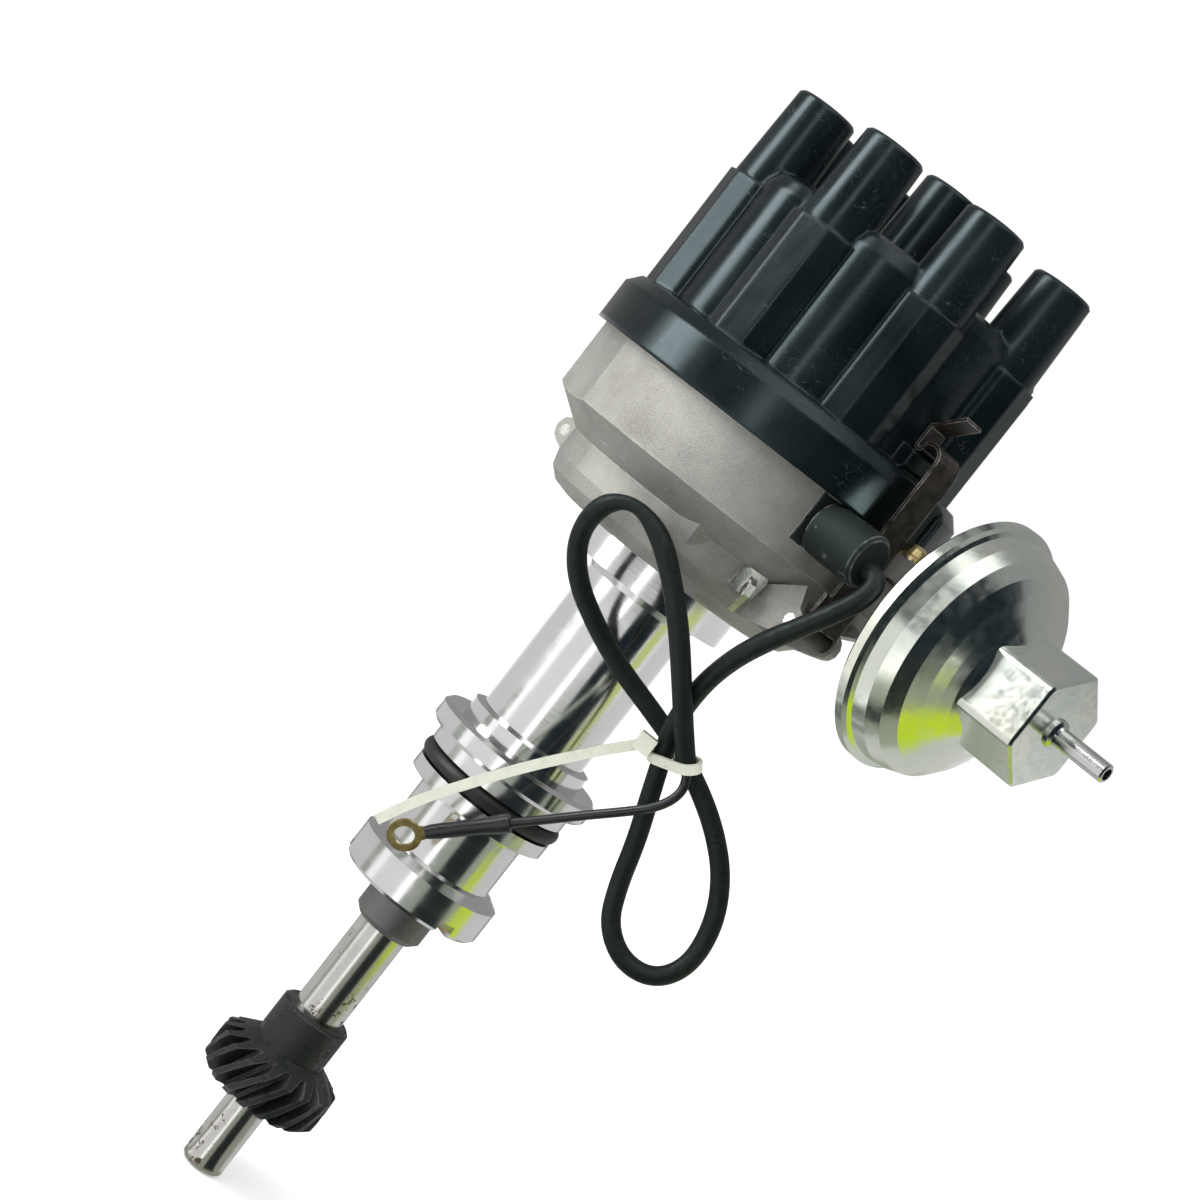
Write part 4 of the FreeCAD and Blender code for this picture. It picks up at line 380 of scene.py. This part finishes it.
bronze_finish = grained_finish("oiled_bronze", 3500.0, 0.3, (0.30, 0.19, 0.09, 1),
                               (0.55, 0.38, 0.20, 1), (0.45, 0.3), 0.00004, 0.5, Metallic=1.0)
paint(bronze_finish, "upper_bushing", "lower_bushing", "thrust_washer")


# --- O-ring ---------------------------------------------------------------------------------
# A moulded rubber ring in the groove of the shank. Off the engine it stands proud of the lands;
# in the block's bore it is squeezed flush with them.
ring_finish = grained_finish("o_ring_rubber", 1200.0, 0.1, (0.003, 0.004, 0.0038, 1),
                             (0.015, 0.018, 0.017, 1), (0.42, 0.58), 0.00003, 0.4)
paint(ring_finish, "diaphragm")

ring_low, ring_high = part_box("o_ring")
ring_outer_radius = 0.0205
ring_section_radius = (ring_high.z - ring_low.z) / 2
ring_line_radius = ring_outer_radius - ring_section_radius
ring_middle = (ring_low.z + ring_high.z) / 2
ring_turns, ring_sides = 96, 20
ring_points = []
ring_faces = []
for turn_step in range(ring_turns):
    about = math.tau * turn_step / ring_turns
    here = turn_step * ring_sides
    beyond = (turn_step + 1) % ring_turns * ring_sides
    for side_step in range(ring_sides):
        round_it = math.tau * side_step / ring_sides
        reach = ring_line_radius + ring_section_radius * math.cos(round_it)
        ring_points.append((reach * math.cos(about), reach * math.sin(about),
                            ring_middle + ring_section_radius * math.sin(round_it)))
        up = (side_step + 1) % ring_sides
        ring_faces.append((here + side_step, beyond + side_step, beyond + up, here + up))
free_ring_mesh = bpy.data.meshes.new("free_o_ring")
free_ring_mesh.from_pydata(ring_points, [], ring_faces)
free_ring_mesh.polygons.foreach_set("use_smooth", [True] * len(ring_faces))
free_ring_mesh.materials.append(ring_finish)
free_ring = add_object("free_o_ring", free_ring_mesh)
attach(free_ring, "housing_body")
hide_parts("o_ring")


# --- Plates and contact set -----------------------------------------------------------------
# Inside the bowl: zinc plated sheet plates, the contact set on its fibre block and the
# condenser in its drawn can. They show only when the cap is off.
plate_finish = grained_finish("zinc_plated_sheet", 900.0, 0.1, (0.50, 0.50, 0.46, 1),
                              (0.72, 0.72, 0.68, 1), (0.22, 0.38), 0.00003, 0.4, Metallic=1.0)
paint(plate_finish, "base_plate", "breaker_plate", "contact_base", "condenser", "vacuum_link",
      "base_plate_screws", "clip_pin_a", "clip_pin_b", "canister_spring", "brush_spring",
      "rotor_spring")

fibre_finish, tree, shader, position = new_finish("phenolic_fibre", Roughness=0.55)
skin = use_group(tree, cast_grain, Position=position, Grain=700.0, Pits=0.2)
colour_by(tree, shader, skin["Shade"], (0.12, 0.06, 0.03, 1), (0.26, 0.14, 0.07, 1))
raise_by(tree, shader, skin["Height"], 0.00004, 0.5)
paint(fibre_finish, "breaker_arm", "rotor")


# --- Vacuum canister ------------------------------------------------------------------------
# Two drawn steel shells crimped at the rim, with bright zinc plate that has a faint green cast,
# a hexagonal nose and a machined hose nipple.
zinc_finish, tree, shader, position = new_finish("bright_zinc_plate", Metallic=1.0)
cloud = noise_of(tree, position, 45.0, 4.0, 0.6, 0.4)
streak = noise_of(tree, position, 420.0, 3.0, 0.6)
colour_by(tree, shader, spread(tree, cloud, 0.35, 0.68), (0.68, 0.76, 0.71, 1),
          (0.82, 0.83, 0.72, 1))
tree.links.new(spread(tree, streak, 0.3, 0.75, 0.16, 0.28), shader.inputs["Roughness"])
relief = plus(tree, cloud, times(tree, streak, 0.05))
raise_by(tree, shader, relief, 0.0006, 0.22)
paint(zinc_finish, "canister_front_shell", "canister_rear_shell")

nipple_finish, tree, shader, position = new_finish("turned_nipple", Metallic=1.0)
sideways = place(tree, "ShaderNodeMapping", {"Vector": position,
                                             "Rotation": (0.0, math.radians(-90), 0.0)})
lines = use_group(tree, lathe_lines, Position=sideways.outputs["Vector"], Lines=2600.0)
colour_by(tree, shader, lines["Shade"], (0.56, 0.57, 0.56, 1), (0.80, 0.81, 0.80, 1))
roughness_by(tree, shader, lines["Shade"], 0.14, 0.3)
raise_by(tree, shader, lines["Height"], 0.00002, 0.6)
paint(nipple_finish, "vacuum_nipple")

bracket_finish, tree, shader, position = new_finish("rough_bracket_casting", Metallic=0.85)
skin = use_group(tree, cast_grain, Position=position, Grain=1500.0, Pits=0.5)
worn = use_group(tree, edge_wear, Position=position, Width=0.0005, Breakup=600.0)
cast_colour = blend_colour(tree, skin["Shade"], (0.28, 0.27, 0.25, 1), (0.60, 0.59, 0.56, 1))
colour_by(tree, shader, times(tree, worn["Mask"], 0.5), cast_colour, (0.8, 0.8, 0.78, 1))
roughness_by(tree, shader, skin["Shade"], 0.6, 0.42)
raise_by(tree, shader, skin["Height"], 0.0002, 0.7)
paint(bracket_finish, "canister_bracket")


def clouded_finish(name, scale, dark, pale, rough, depth, **plain):
    """Material whose colour, roughness and faint bump follow one noise; rough is its two ends."""
    material, tree, shader, position = new_finish(name, **plain)
    cloud = noise_of(tree, position, scale, 3.0)
    colour_by(tree, shader, cloud, dark, pale)
    roughness_by(tree, shader, cloud, *rough)
    raise_by(tree, shader, cloud, depth, 0.4)
    return material


screw_finish = clouded_finish("yellow_zinc_plate", 600.0, (0.50, 0.37, 0.14, 1),
                              (0.78, 0.66, 0.40, 1), (0.2, 0.38), 0.00004, Metallic=1.0)
paint(screw_finish, "bracket_screw")


# --- Cap ------------------------------------------------------------------------------------
# One moulding of black phenolic, satin with soft wiped streaks; brass terminals end in its
# sockets, and a carbon brush on a spring hangs from the middle one.
cap_finish, tree, shader, position = new_finish(
    "moulded_phenolic", IOR=1.5, Specular_IOR_Level=0.44, Specular_Tint=(0.74, 0.95, 1.0, 1))
drawn = place(tree, "ShaderNodeMapping", {"Vector": position, "Scale": (1.0, 1.0, 0.12)})
wipe = noise_of(tree, drawn.outputs["Vector"], 260.0, 4.0, 0.6, 0.6)
slow = noise_of(tree, position, 34.0, 3.0)
fine = noise_of(tree, position, 3000.0, 2.0)
worn = use_group(tree, edge_wear, Position=position, Width=0.0005, Breakup=500.0)
slate = blend_colour(tree, spread(tree, slow, 0.35, 0.65), (0.002, 0.0045, 0.005, 1),
                     (0.006, 0.0105, 0.0115, 1))
slate = blend_colour(tree, times(tree, worn["Mask"], 0.35), slate, (0.07, 0.085, 0.09, 1))
nicks = use_group(tree, scratches, Position=position, Length=42.0, Amount=0.45)
colour_by(tree, shader, nicks["Mask"], slate, (0.17, 0.20, 0.205, 1))
shine = plus(tree, spread(tree, wipe, 0.3, 0.7, 0.20, 0.30),
             spread(tree, slow, 0.3, 0.7, -0.05, 0.06))
tree.links.new(shine, shader.inputs["Roughness"])
relief = plus(tree, slow, times(tree, fine, 0.02))
moulded_edge = place(tree, "ShaderNodeBevel", {"Radius": 0.0016}, samples=8)
raise_by(tree, shader, relief, 0.0004, 0.3, moulded_edge.outputs["Normal"])
paint(cap_finish, "distributor_cap")

brass_finish, tree, shader, position = new_finish("plain_brass", Metallic=1.0)
cloud = noise_of(tree, position, 700.0, 4.0, 0.6)
colour_by(tree, shader, spread(tree, cloud, 0.3, 0.7), (0.48, 0.35, 0.13, 1),
          (0.76, 0.60, 0.29, 1))
roughness_by(tree, shader, cloud, 0.26, 0.42)
raise_by(tree, shader, cloud, 0.00006, 0.4)
paint(brass_finish, "centre_terminal", "rotor_blade", *["terminal_%d" % i for i in range(1, 9)])

carbon_finish, tree, shader, position = new_finish("pressed_carbon", Roughness=0.5)
skin = use_group(tree, cast_grain, Position=position, Grain=3500.0, Pits=0.5)
colour_by(tree, shader, skin["Shade"], (0.012, 0.012, 0.012, 1), (0.05, 0.05, 0.05, 1))
paint(carbon_finish, "carbon_brush")


# --- Clips and earth tab --------------------------------------------------------------------
# The clips are bent from dark tempered spring steel, rubbed bright along the sheared edges. The
# earth tab is bright tinned sheet.
clip_finish, tree, shader, position = new_finish("dark_spring_steel", Metallic=0.7)
cloud = noise_of(tree, position, 300.0, 4.0, 0.6)
worn = use_group(tree, edge_wear, Position=position, Width=0.0005, Breakup=260.0)
dark = blend_colour(tree, spread(tree, cloud, 0.35, 0.65), (0.022, 0.019, 0.017, 1),
                    (0.06, 0.05, 0.043, 1))
colour_by(tree, shader, times(tree, worn["Mask"], 0.9), dark, (0.62, 0.61, 0.58, 1))
roughness_by(tree, shader, cloud, 0.30, 0.5)
raise_by(tree, shader, cloud, 0.0001, 0.3)
paint(clip_finish, "clip_a", "clip_b")

tab_finish = clouded_finish("tinned_sheet", 500.0, (0.70, 0.70, 0.69, 1), (0.93, 0.93, 0.92, 1),
                            (0.16, 0.32), 0.00005, Metallic=1.0)
paint(tab_finish, "earth_tab")


# --- Grommet --------------------------------------------------------------------------------
# Moulded dark grey rubber, dusty and scuffed white at its edges. It is pushed into the notch of
# the bowl with the lead already through it.
grommet_finish, tree, shader, position = new_finish(
    "dusty_rubber", Specular_IOR_Level=0.30, Specular_Tint=(0.68, 1.0, 0.92, 1))
skin = use_group(tree, cast_grain, Position=position, Grain=1400.0, Pits=0.3)
worn = use_group(tree, edge_wear, Position=position, Width=0.0008, Breakup=450.0)
dust = spread(tree, noise_of(tree, position, 260.0, 5.0, 0.7), 0.62, 0.74)
rubber = blend_colour(tree, skin["Shade"], (0.003, 0.005, 0.0045, 1), (0.013, 0.018, 0.0165, 1))
rubber = blend_colour(tree, times(tree, dust, 0.35), rubber, (0.36, 0.37, 0.37, 1))
colour_by(tree, shader, times(tree, worn["Mask"], 0.6), rubber, (0.42, 0.43, 0.43, 1))
roughness_by(tree, shader, skin["Shade"], 0.5, 0.72)
raise_by(tree, shader, skin["Height"], 0.0001, 0.6)
paint(grommet_finish, "grommet")


# --- Lead -----------------------------------------------------------------------------------
# A thin wire in a matte black loom leaves the grommet, is folded into two long loops that cross
# at a cable tie, and goes on alone to a brass ring terminal behind a shrunk sleeve.
loom_route = [
    (58.4, -20.0, 94.0), (62.8, -20.0, 94.0), (63.8, -21.4, 88.8), (60.8, -22.6, 82.0),
    (56.2, -23.0, 74.6), (51.0, -22.6, 67.2), (45.8, -20.8, 59.0), (41.2, -17.3, 49.6),
    (38.6, -13.0, 38.2), (40.1, -9.5, 29.1), (42.4, -6.6, 19.7), (44.9, -3.6, 9.8),
    (46.8, -1.0, -1.1), (50.0, 1.3, -10.1), (56.6, 6.0, -15.1), (63.7, 11.0, -13.6),
    (66.8, 14.5, -6.0), (65.0, 14.5, 5.2), (60.6, 11.3, 15.2), (54.1, 6.6, 22.8),
    (46.8, 1.4, 28.5), (37.9, -3.6, 33.1), (28.9, -10.1, 36.5), (20.2, -17.5, 39.7),
    (12.0, -25.8, 44.7), (5.7, -34.0, 51.0), (2.9, -39.7, 59.2), (5.3, -42.9, 68.8),
    (12.1, -41.7, 73.7), (20.4, -37.6, 71.3), (27.2, -33.0, 64.9), (34.0, -27.5, 56.4),
    (40.2, -21.8, 46.6), (44.4, -14.6, 37.4), (47.0, -9.6, 31.8)]
wire_route = [
    (47.0, -9.6, 31.8), (48.0, -7.7, 29.6), (49.2, -8.0, 25.6), (48.0, -10.2, 20.6),
    (43.3, -12.6, 15.0), (36.6, -15.2, 8.1), (29.6, -17.8, 0.6), (22.9, -21.3, -6.8),
    (17.0, -25.3, -13.9)]


def round_cord(name, spots, radius, shares=None, kind="NURBS"):
    """Round cord led by spots in metres; shares thin or swell it at a spot, by its index."""
    data = bpy.data.curves.new(name, "CURVE")
    data.dimensions = "3D"
    data.resolution_u = 10
    data.bevel_depth = radius
    data.bevel_resolution = 6
    data.use_fill_caps = True
    line = data.splines.new(kind)
    line.points.add(len(spots) - 1)
    for point, spot in zip(line.points, spots):
        point.co = (*spot, 1)
    for index, share in (shares or {}).items():
        line.points[index].radius = share
    line.order_u = 3
    line.use_endpoint_u = True
    return add_object(name, data)


def in_metres(route):
    """The route's spots, written in millimetres, as metres."""
    return [(x / 1000, y / 1000, z / 1000) for x, y, z in route]


loom_finish, tree, shader, position = new_finish(
    "matte_loom", Specular_IOR_Level=0.3, Specular_Tint=(0.78, 1.0, 0.94, 1))
weave = noise_of(tree, position, 900.0, 3.0, 0.6)
crease = noise_of(tree, position, 210.0, 4.0, 0.6, 1.2)
colour_by(tree, shader, crease, (0.003, 0.004, 0.0036, 1), (0.010, 0.0125, 0.0115, 1))
roughness_by(tree, shader, weave, 0.36, 0.56)
relief = plus(tree, crease, times(tree, weave, 0.06))
raise_by(tree, shader, relief, 0.0006, 0.5)
loom_radius = 0.0024
loom_shares = {5: 1.04, 9: 0.95, 14: 1.03, 17: 1.05, 21: 0.96, 25: 1.04, 27: 1.10, 28: 0.56,
               29: 1.10, 31: 1.04}
loom = round_cord("loom", in_metres(loom_route), loom_radius, loom_shares)
loom.data.materials.append(loom_finish)
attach(loom, "housing_body")
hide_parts("lead_loom")

wire_finish = clouded_finish("wire_cover_plastic", 400.0, (0.005, 0.006, 0.007, 1),
                             (0.018, 0.02, 0.022, 1), (0.26, 0.42), 0.0001)
wire_radius = 0.00115
thin_wire = round_cord("thin_wire", in_metres(wire_route), wire_radius)
thin_wire.data.materials.append(wire_finish)
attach(thin_wire, "housing_body")
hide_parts("lead_wire")
paint(brass_finish, "ring_terminal")


def mesh_instead(cord):
    """The mesh of a cord, whose own object is removed."""
    mesh = bpy.data.meshes.new_from_object(cord)
    bpy.data.objects.remove(cord)
    return mesh


def centre_line(route):
    """Edges along the smooth curve that a route in millimetres leads."""
    return mesh_instead(round_cord("centre_line", in_metres(route), 0.0))


# The sleeve starts beyond the wire's end and runs back over it. Its shares are millimetres of
# radius, with a soft waist at the terminal.
sleeve_cover = 0.0125
sleeve_beyond = (0.0074, 0.006, 0.003)
sleeve_unit = 0.001
wire_points = [vertex.co.copy() for vertex in centre_line(wire_route).vertices]
covered = [wire_points[-1]]
covered_length = 0.0
for before, after in zip(wire_points[-2::-1], wire_points[::-1]):
    if covered_length > sleeve_cover:
        break
    covered_length += (after - before).length
    covered.append(before)
sleeve_ahead = (wire_points[-1] - wire_points[-2]).normalized()
sleeve_line = [wire_points[-1] + sleeve_ahead * step for step in sleeve_beyond] + covered
sleeve_shares = {}
for index in range(len(sleeve_line)):
    along = index / (len(sleeve_line) - 1)
    sleeve_shares[index] = 1.55 + 0.75 * along ** 0.6 + 0.10 * math.sin(9.0 * along)
sleeve_mesh = mesh_instead(round_cord("shrunk_sleeve_line", sleeve_line, sleeve_unit,
                                      sleeve_shares, "POLY"))
sleeve_mesh.polygons.foreach_set("use_smooth", [True] * len(sleeve_mesh.polygons))
sleeve_mesh.materials.append(wire_finish)
shrunk_sleeve = add_object("shrunk_sleeve", sleeve_mesh)
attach(shrunk_sleeve, "housing_body")
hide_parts("wire_sleeve")

nylon_finish, tree, shader, position = new_finish(
    "natural_nylon", IOR=1.53, Subsurface_Weight=0.4, Subsurface_Radius=(0.002, 0.002, 0.0016))
cloud = noise_of(tree, position, 300.0, 3.0)
colour_by(tree, shader, cloud, (0.54, 0.57, 0.47, 1), (0.70, 0.72, 0.62, 1))
roughness_by(tree, shader, cloud, 0.24, 0.4)
paint(nylon_finish, "cable_tie")

strap_route = [
    (37.0, -14.6, 30.2), (30.0, -21.0, 20.0), (22.6, -26.6, 8.6), (15.4, -31.2, -3.4),
    (9.6, -34.6, -13.6), (5.2, -36.6, -23.3)]


def strap_teeth_tree():
    """Ridges across a strap: boxes at one pitch along its middle line, all facing one way."""
    tree = bpy.data.node_groups.new("strap_teeth", "GeometryNodeTree")
    for label, kind in {"Line": "Geometry", "Pitch": "Float", "Tooth": "Vector",
                        "Facing": "Vector", "Depth": "Float", "Finish": "Material"}.items():
        tree.interface.new_socket(label, in_out="INPUT", socket_type="NodeSocket" + kind)
    tree.interface.new_socket("Teeth", in_out="OUTPUT", socket_type="NodeSocketGeometry")
    given = place(tree, "NodeGroupInput").outputs
    line = place(tree, "GeometryNodeMeshToCurve", {"Mesh": given["Line"]})
    spots = place(tree, "GeometryNodeCurveToPoints", {
        "Curve": line.outputs["Curve"], "Length": given["Pitch"]}, mode="LENGTH").outputs
    turned = place(tree, "FunctionNodeAxesToRotation", {
        "Primary Axis": spots["Tangent"], "Secondary Axis": given["Facing"]},
        primary_axis="X", secondary_axis="Z")
    box = place(tree, "GeometryNodeMeshCube", {"Size": given["Tooth"]})
    teeth = place(tree, "GeometryNodeInstanceOnPoints", {
        "Points": spots["Points"], "Instance": box.outputs["Mesh"],
        "Rotation": turned.outputs["Rotation"]})
    back = place(tree, "ShaderNodeCombineXYZ", {"Z": given["Depth"]})
    moved = place(tree, "GeometryNodeTranslateInstances", {
        "Instances": teeth.outputs["Instances"], "Translation": back.outputs["Vector"]})
    solid = place(tree, "GeometryNodeRealizeInstances", {"Geometry": moved.outputs["Instances"]})
    painted = place(tree, "GeometryNodeSetMaterial", {
        "Geometry": solid.outputs["Geometry"], "Material": given["Finish"]})
    place(tree, "NodeGroupOutput", {"Teeth": painted.outputs["Geometry"]})
    return tree


teeth_line = add_object("teeth_line", centre_line(strap_route))
teeth_step = teeth_line.modifiers.new("strap_teeth", "NODES")
teeth_step.node_group = strap_teeth_tree()
teeth_given = {"Pitch": 0.0012, "Tooth": (0.0005, 0.0016, 0.0006), "Facing": (0.58, -0.81, 0.0),
               "Depth": -0.00055, "Finish": nylon_finish}
for socket in teeth_step.node_group.interface.items_tree:
    if socket.name in teeth_given:
        teeth_step[socket.identifier] = teeth_given[socket.name]
teeth_made = teeth_line.evaluated_get(bpy.context.evaluated_depsgraph_get())
strap_teeth = add_object("strap_teeth", bpy.data.meshes.new_from_object(teeth_made))
bpy.data.objects.remove(teeth_line)
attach(strap_teeth, "housing_body")


# --- Floor and light ------------------------------------------------------------------------
# White floor and sky with soft lamps. Dark and lime cards that only reflections see stand in
# for the room that the bright metal of the photograph mirrors.
white = (1.0, 1.0, 1.0, 1)
floor_half = 12.0
floor_z = model_low.z - 0.0004
floor_mesh = bpy.data.meshes.new("floor")
floor_mesh.from_pydata([(-floor_half, -floor_half, floor_z), (floor_half, -floor_half, floor_z),
                        (floor_half, floor_half, floor_z), (-floor_half, floor_half, floor_z)],
                       [], [(0, 1, 2, 3)])
floor = add_object("floor", floor_mesh)
floor_paint, tree, shader, position = new_finish(
    "white_floor", Base_Color=(0.93, 0.93, 0.93, 1), Roughness=1.0, Specular_IOR_Level=0.0,
    Emission_Color=white)
path = place(tree, "ShaderNodeLightPath")
floor_glow = spread(tree, path.outputs["Is Camera Ray"], 0.0, 1.0, 0.0, 0.3)
tree.links.new(floor_glow, shader.inputs["Emission Strength"])
floor_mesh.materials.append(floor_paint)

sky = bpy.data.worlds.new("studio_sky")
bpy.context.scene.world = sky
sky.use_nodes = True
tree = sky.node_tree
path = place(tree, "ShaderNodeLightPath")
glossy = spread(tree, calculate(tree, "MAXIMUM", path.outputs["Is Glossy Ray"],
                                path.outputs["Is Transmission Ray"]), 0.0, 1.0, 0.62, 0.32)
strength = calculate(tree, "MAXIMUM", path.outputs["Is Camera Ray"], glossy)
tree.links.new(strength, tree.nodes["Background"].inputs["Strength"])
tree.nodes["Background"].inputs["Color"].default_value = white


def soft_lamp(name, direction, distance, width, height, power):
    """Large area lamp that looks at the middle of the object and isn't seen in reflections."""
    aim = Vector((0.01, 0.0, 0.04))
    data = bpy.data.lights.new(name, "AREA")
    data.shape = "RECTANGLE"
    data.size = width
    data.size_y = height
    data.energy = power
    lamp = add_object(name, data)
    lamp.visible_glossy = False
    lamp.location = aim + direction.normalized() * distance
    lamp.rotation_euler = (aim - lamp.location).to_track_quat("-Z", "Y").to_euler()


soft_lamp("key_lamp", -look * 0.7 - level * 0.75 + upward * 1.2, 1.2, 0.7, 0.7, 9.0)
soft_lamp("fill_lamp", -look * 0.8 + level * 1.3 + upward * 0.5, 1.4, 0.3, 0.9, 3.0)
sun_data = bpy.data.lights.new("high_sun", "SUN")
sun_data.energy = 0.9
sun_data.angle = math.radians(50)
sun = add_object("high_sun", sun_data)
sun.rotation_euler = (look * 0.5 + Vector((0, 0, -1.0))).to_track_quat("-Z", "Y").to_euler()


def hide_card(name, mesh, colour, strength):
    """Gives a card its flat glow and hides it from all but reflections."""
    card = add_object(name, mesh)
    material = bpy.data.materials.new(name)
    material.use_nodes = True
    card_tree = material.node_tree
    card_tree.nodes.remove(card_tree.nodes["Principled BSDF"])
    glow = place(card_tree, "ShaderNodeEmission", {"Color": colour, "Strength": strength})
    card_tree.links.new(glow.outputs["Emission"],
                        card_tree.nodes["Material Output"].inputs["Surface"])
    mesh.materials.append(material)
    card.visible_camera = False
    card.visible_diffuse = False
    card.visible_shadow = False
    card.visible_transmission = False


def curved_card(name, side_from, side_to, first_edge, second_edge, colour, strength=1.0):
    """Card bent round the object between two sides, in degrees from the camera's. Each edge is
    its distance and its height."""
    mesh = bpy.data.meshes.new(name)
    steps = 12
    rows = []
    for distance, height in (first_edge, second_edge):
        for step in range(steps + 1):
            angle = math.radians(side_from + (side_to - side_from) * step / steps)
            spot = (-away * math.cos(angle) + across * math.sin(angle)) * distance
            rows.append((spot.x, spot.y, height))
    faces = [(i, i + 1, i + steps + 2, i + steps + 1) for i in range(steps)]
    mesh.from_pydata(rows, [], faces)
    hide_card(name, mesh, colour, strength)


def flat_card(name, height, sideways, towards, colour, strength=1.0):
    """Level card, by its reach to the right of the camera's line and towards the camera."""
    mesh = bpy.data.meshes.new(name)
    corners = [(sideways[0], towards[0]), (sideways[1], towards[0]),
               (sideways[1], towards[1]), (sideways[0], towards[1])]
    spots = [across * a - away * b + Vector((0, 0, height)) for a, b in corners]
    mesh.from_pydata([tuple(spot) for spot in spots], [], [(0, 1, 2, 3)])
    hide_card(name, mesh, colour, strength)


# White cards and floor sectors make the bright stripes of the turned shank, dark ones the edges
# between them, and the lime ones the green streaks on the shank and the canister.
dark_blue = (0.010, 0.018, 0.024, 1)
dark_grey = (0.02, 0.025, 0.025, 1)
lime = (0.62, 0.78, 0.03, 1)
pale_lime = (0.62, 0.70, 0.26, 1)
pale_green = (0.80, 0.86, 0.72, 1)
middle_z = 0.01
wall_distance = 0.8
near_distance = 0.79
far_distance = 0.9
roof_z = 1.1
low_edge = (wall_distance, floor_z)
middle_edge = (wall_distance, middle_z)
grey_mat_z = floor_z + 0.0002
sector_z = floor_z + 0.0004
lime_mat_z = floor_z + 0.0006
sector_inner = (0.009, sector_z)
sector_outer = (wall_distance, sector_z)
for label, side_from, side_to, strength in (
        ("strip_left", -72, -58, 1.25), ("wall_left", -58, -17, 0.88),
        ("strip_middle", -17, -7, 1.8), ("wall_right", 92, 150, 0.70),
        ("wall_far_left", -150, -86, 0.70)):
    curved_card(label, side_from, side_to, low_edge, middle_edge, white, strength)
    curved_card(label + "_floor", side_from, side_to, sector_inner, sector_outer, white,
                strength * 0.9)
curved_card("strip_left_high", -84, -62, middle_edge, (wall_distance, 0.8), white, 8.5)
curved_card("wall_left_high", -62, -17, (far_distance, middle_z), (far_distance, 1.2), white,
            0.14)
curved_card("strip_middle_high", -16, -8, middle_edge, (wall_distance, 0.7), white, 3.0)
curved_card("dark_card", 16, 60, low_edge, (wall_distance, 0.9), dark_blue)
curved_card("dark_card_near", -3, 16, (near_distance, 0.018), (near_distance, 0.35),
            dark_blue)
curved_card("dark_card_high", 60, 90, (wall_distance, 0.10), (wall_distance, 0.9), dark_blue)
curved_card("dark_floor", 16, 58, sector_inner, sector_outer, dark_grey)
curved_card("lime_wall", 64, 82, (far_distance, floor_z), (far_distance, 0.03), pale_lime)
flat_card("roof_card", roof_z, (-0.6, 0.5), (0.1, 0.9), white, 1.3)
flat_card("grey_mat", grey_mat_z, (-1.2, 1.2), (-0.8, 1.2), pale_green, 0.42)
flat_card("lime_mat", lime_mat_z, (0.25, 0.55), (-0.06, 0.14), lime)

bpy.context.scene.view_settings.view_transform = "Standard"
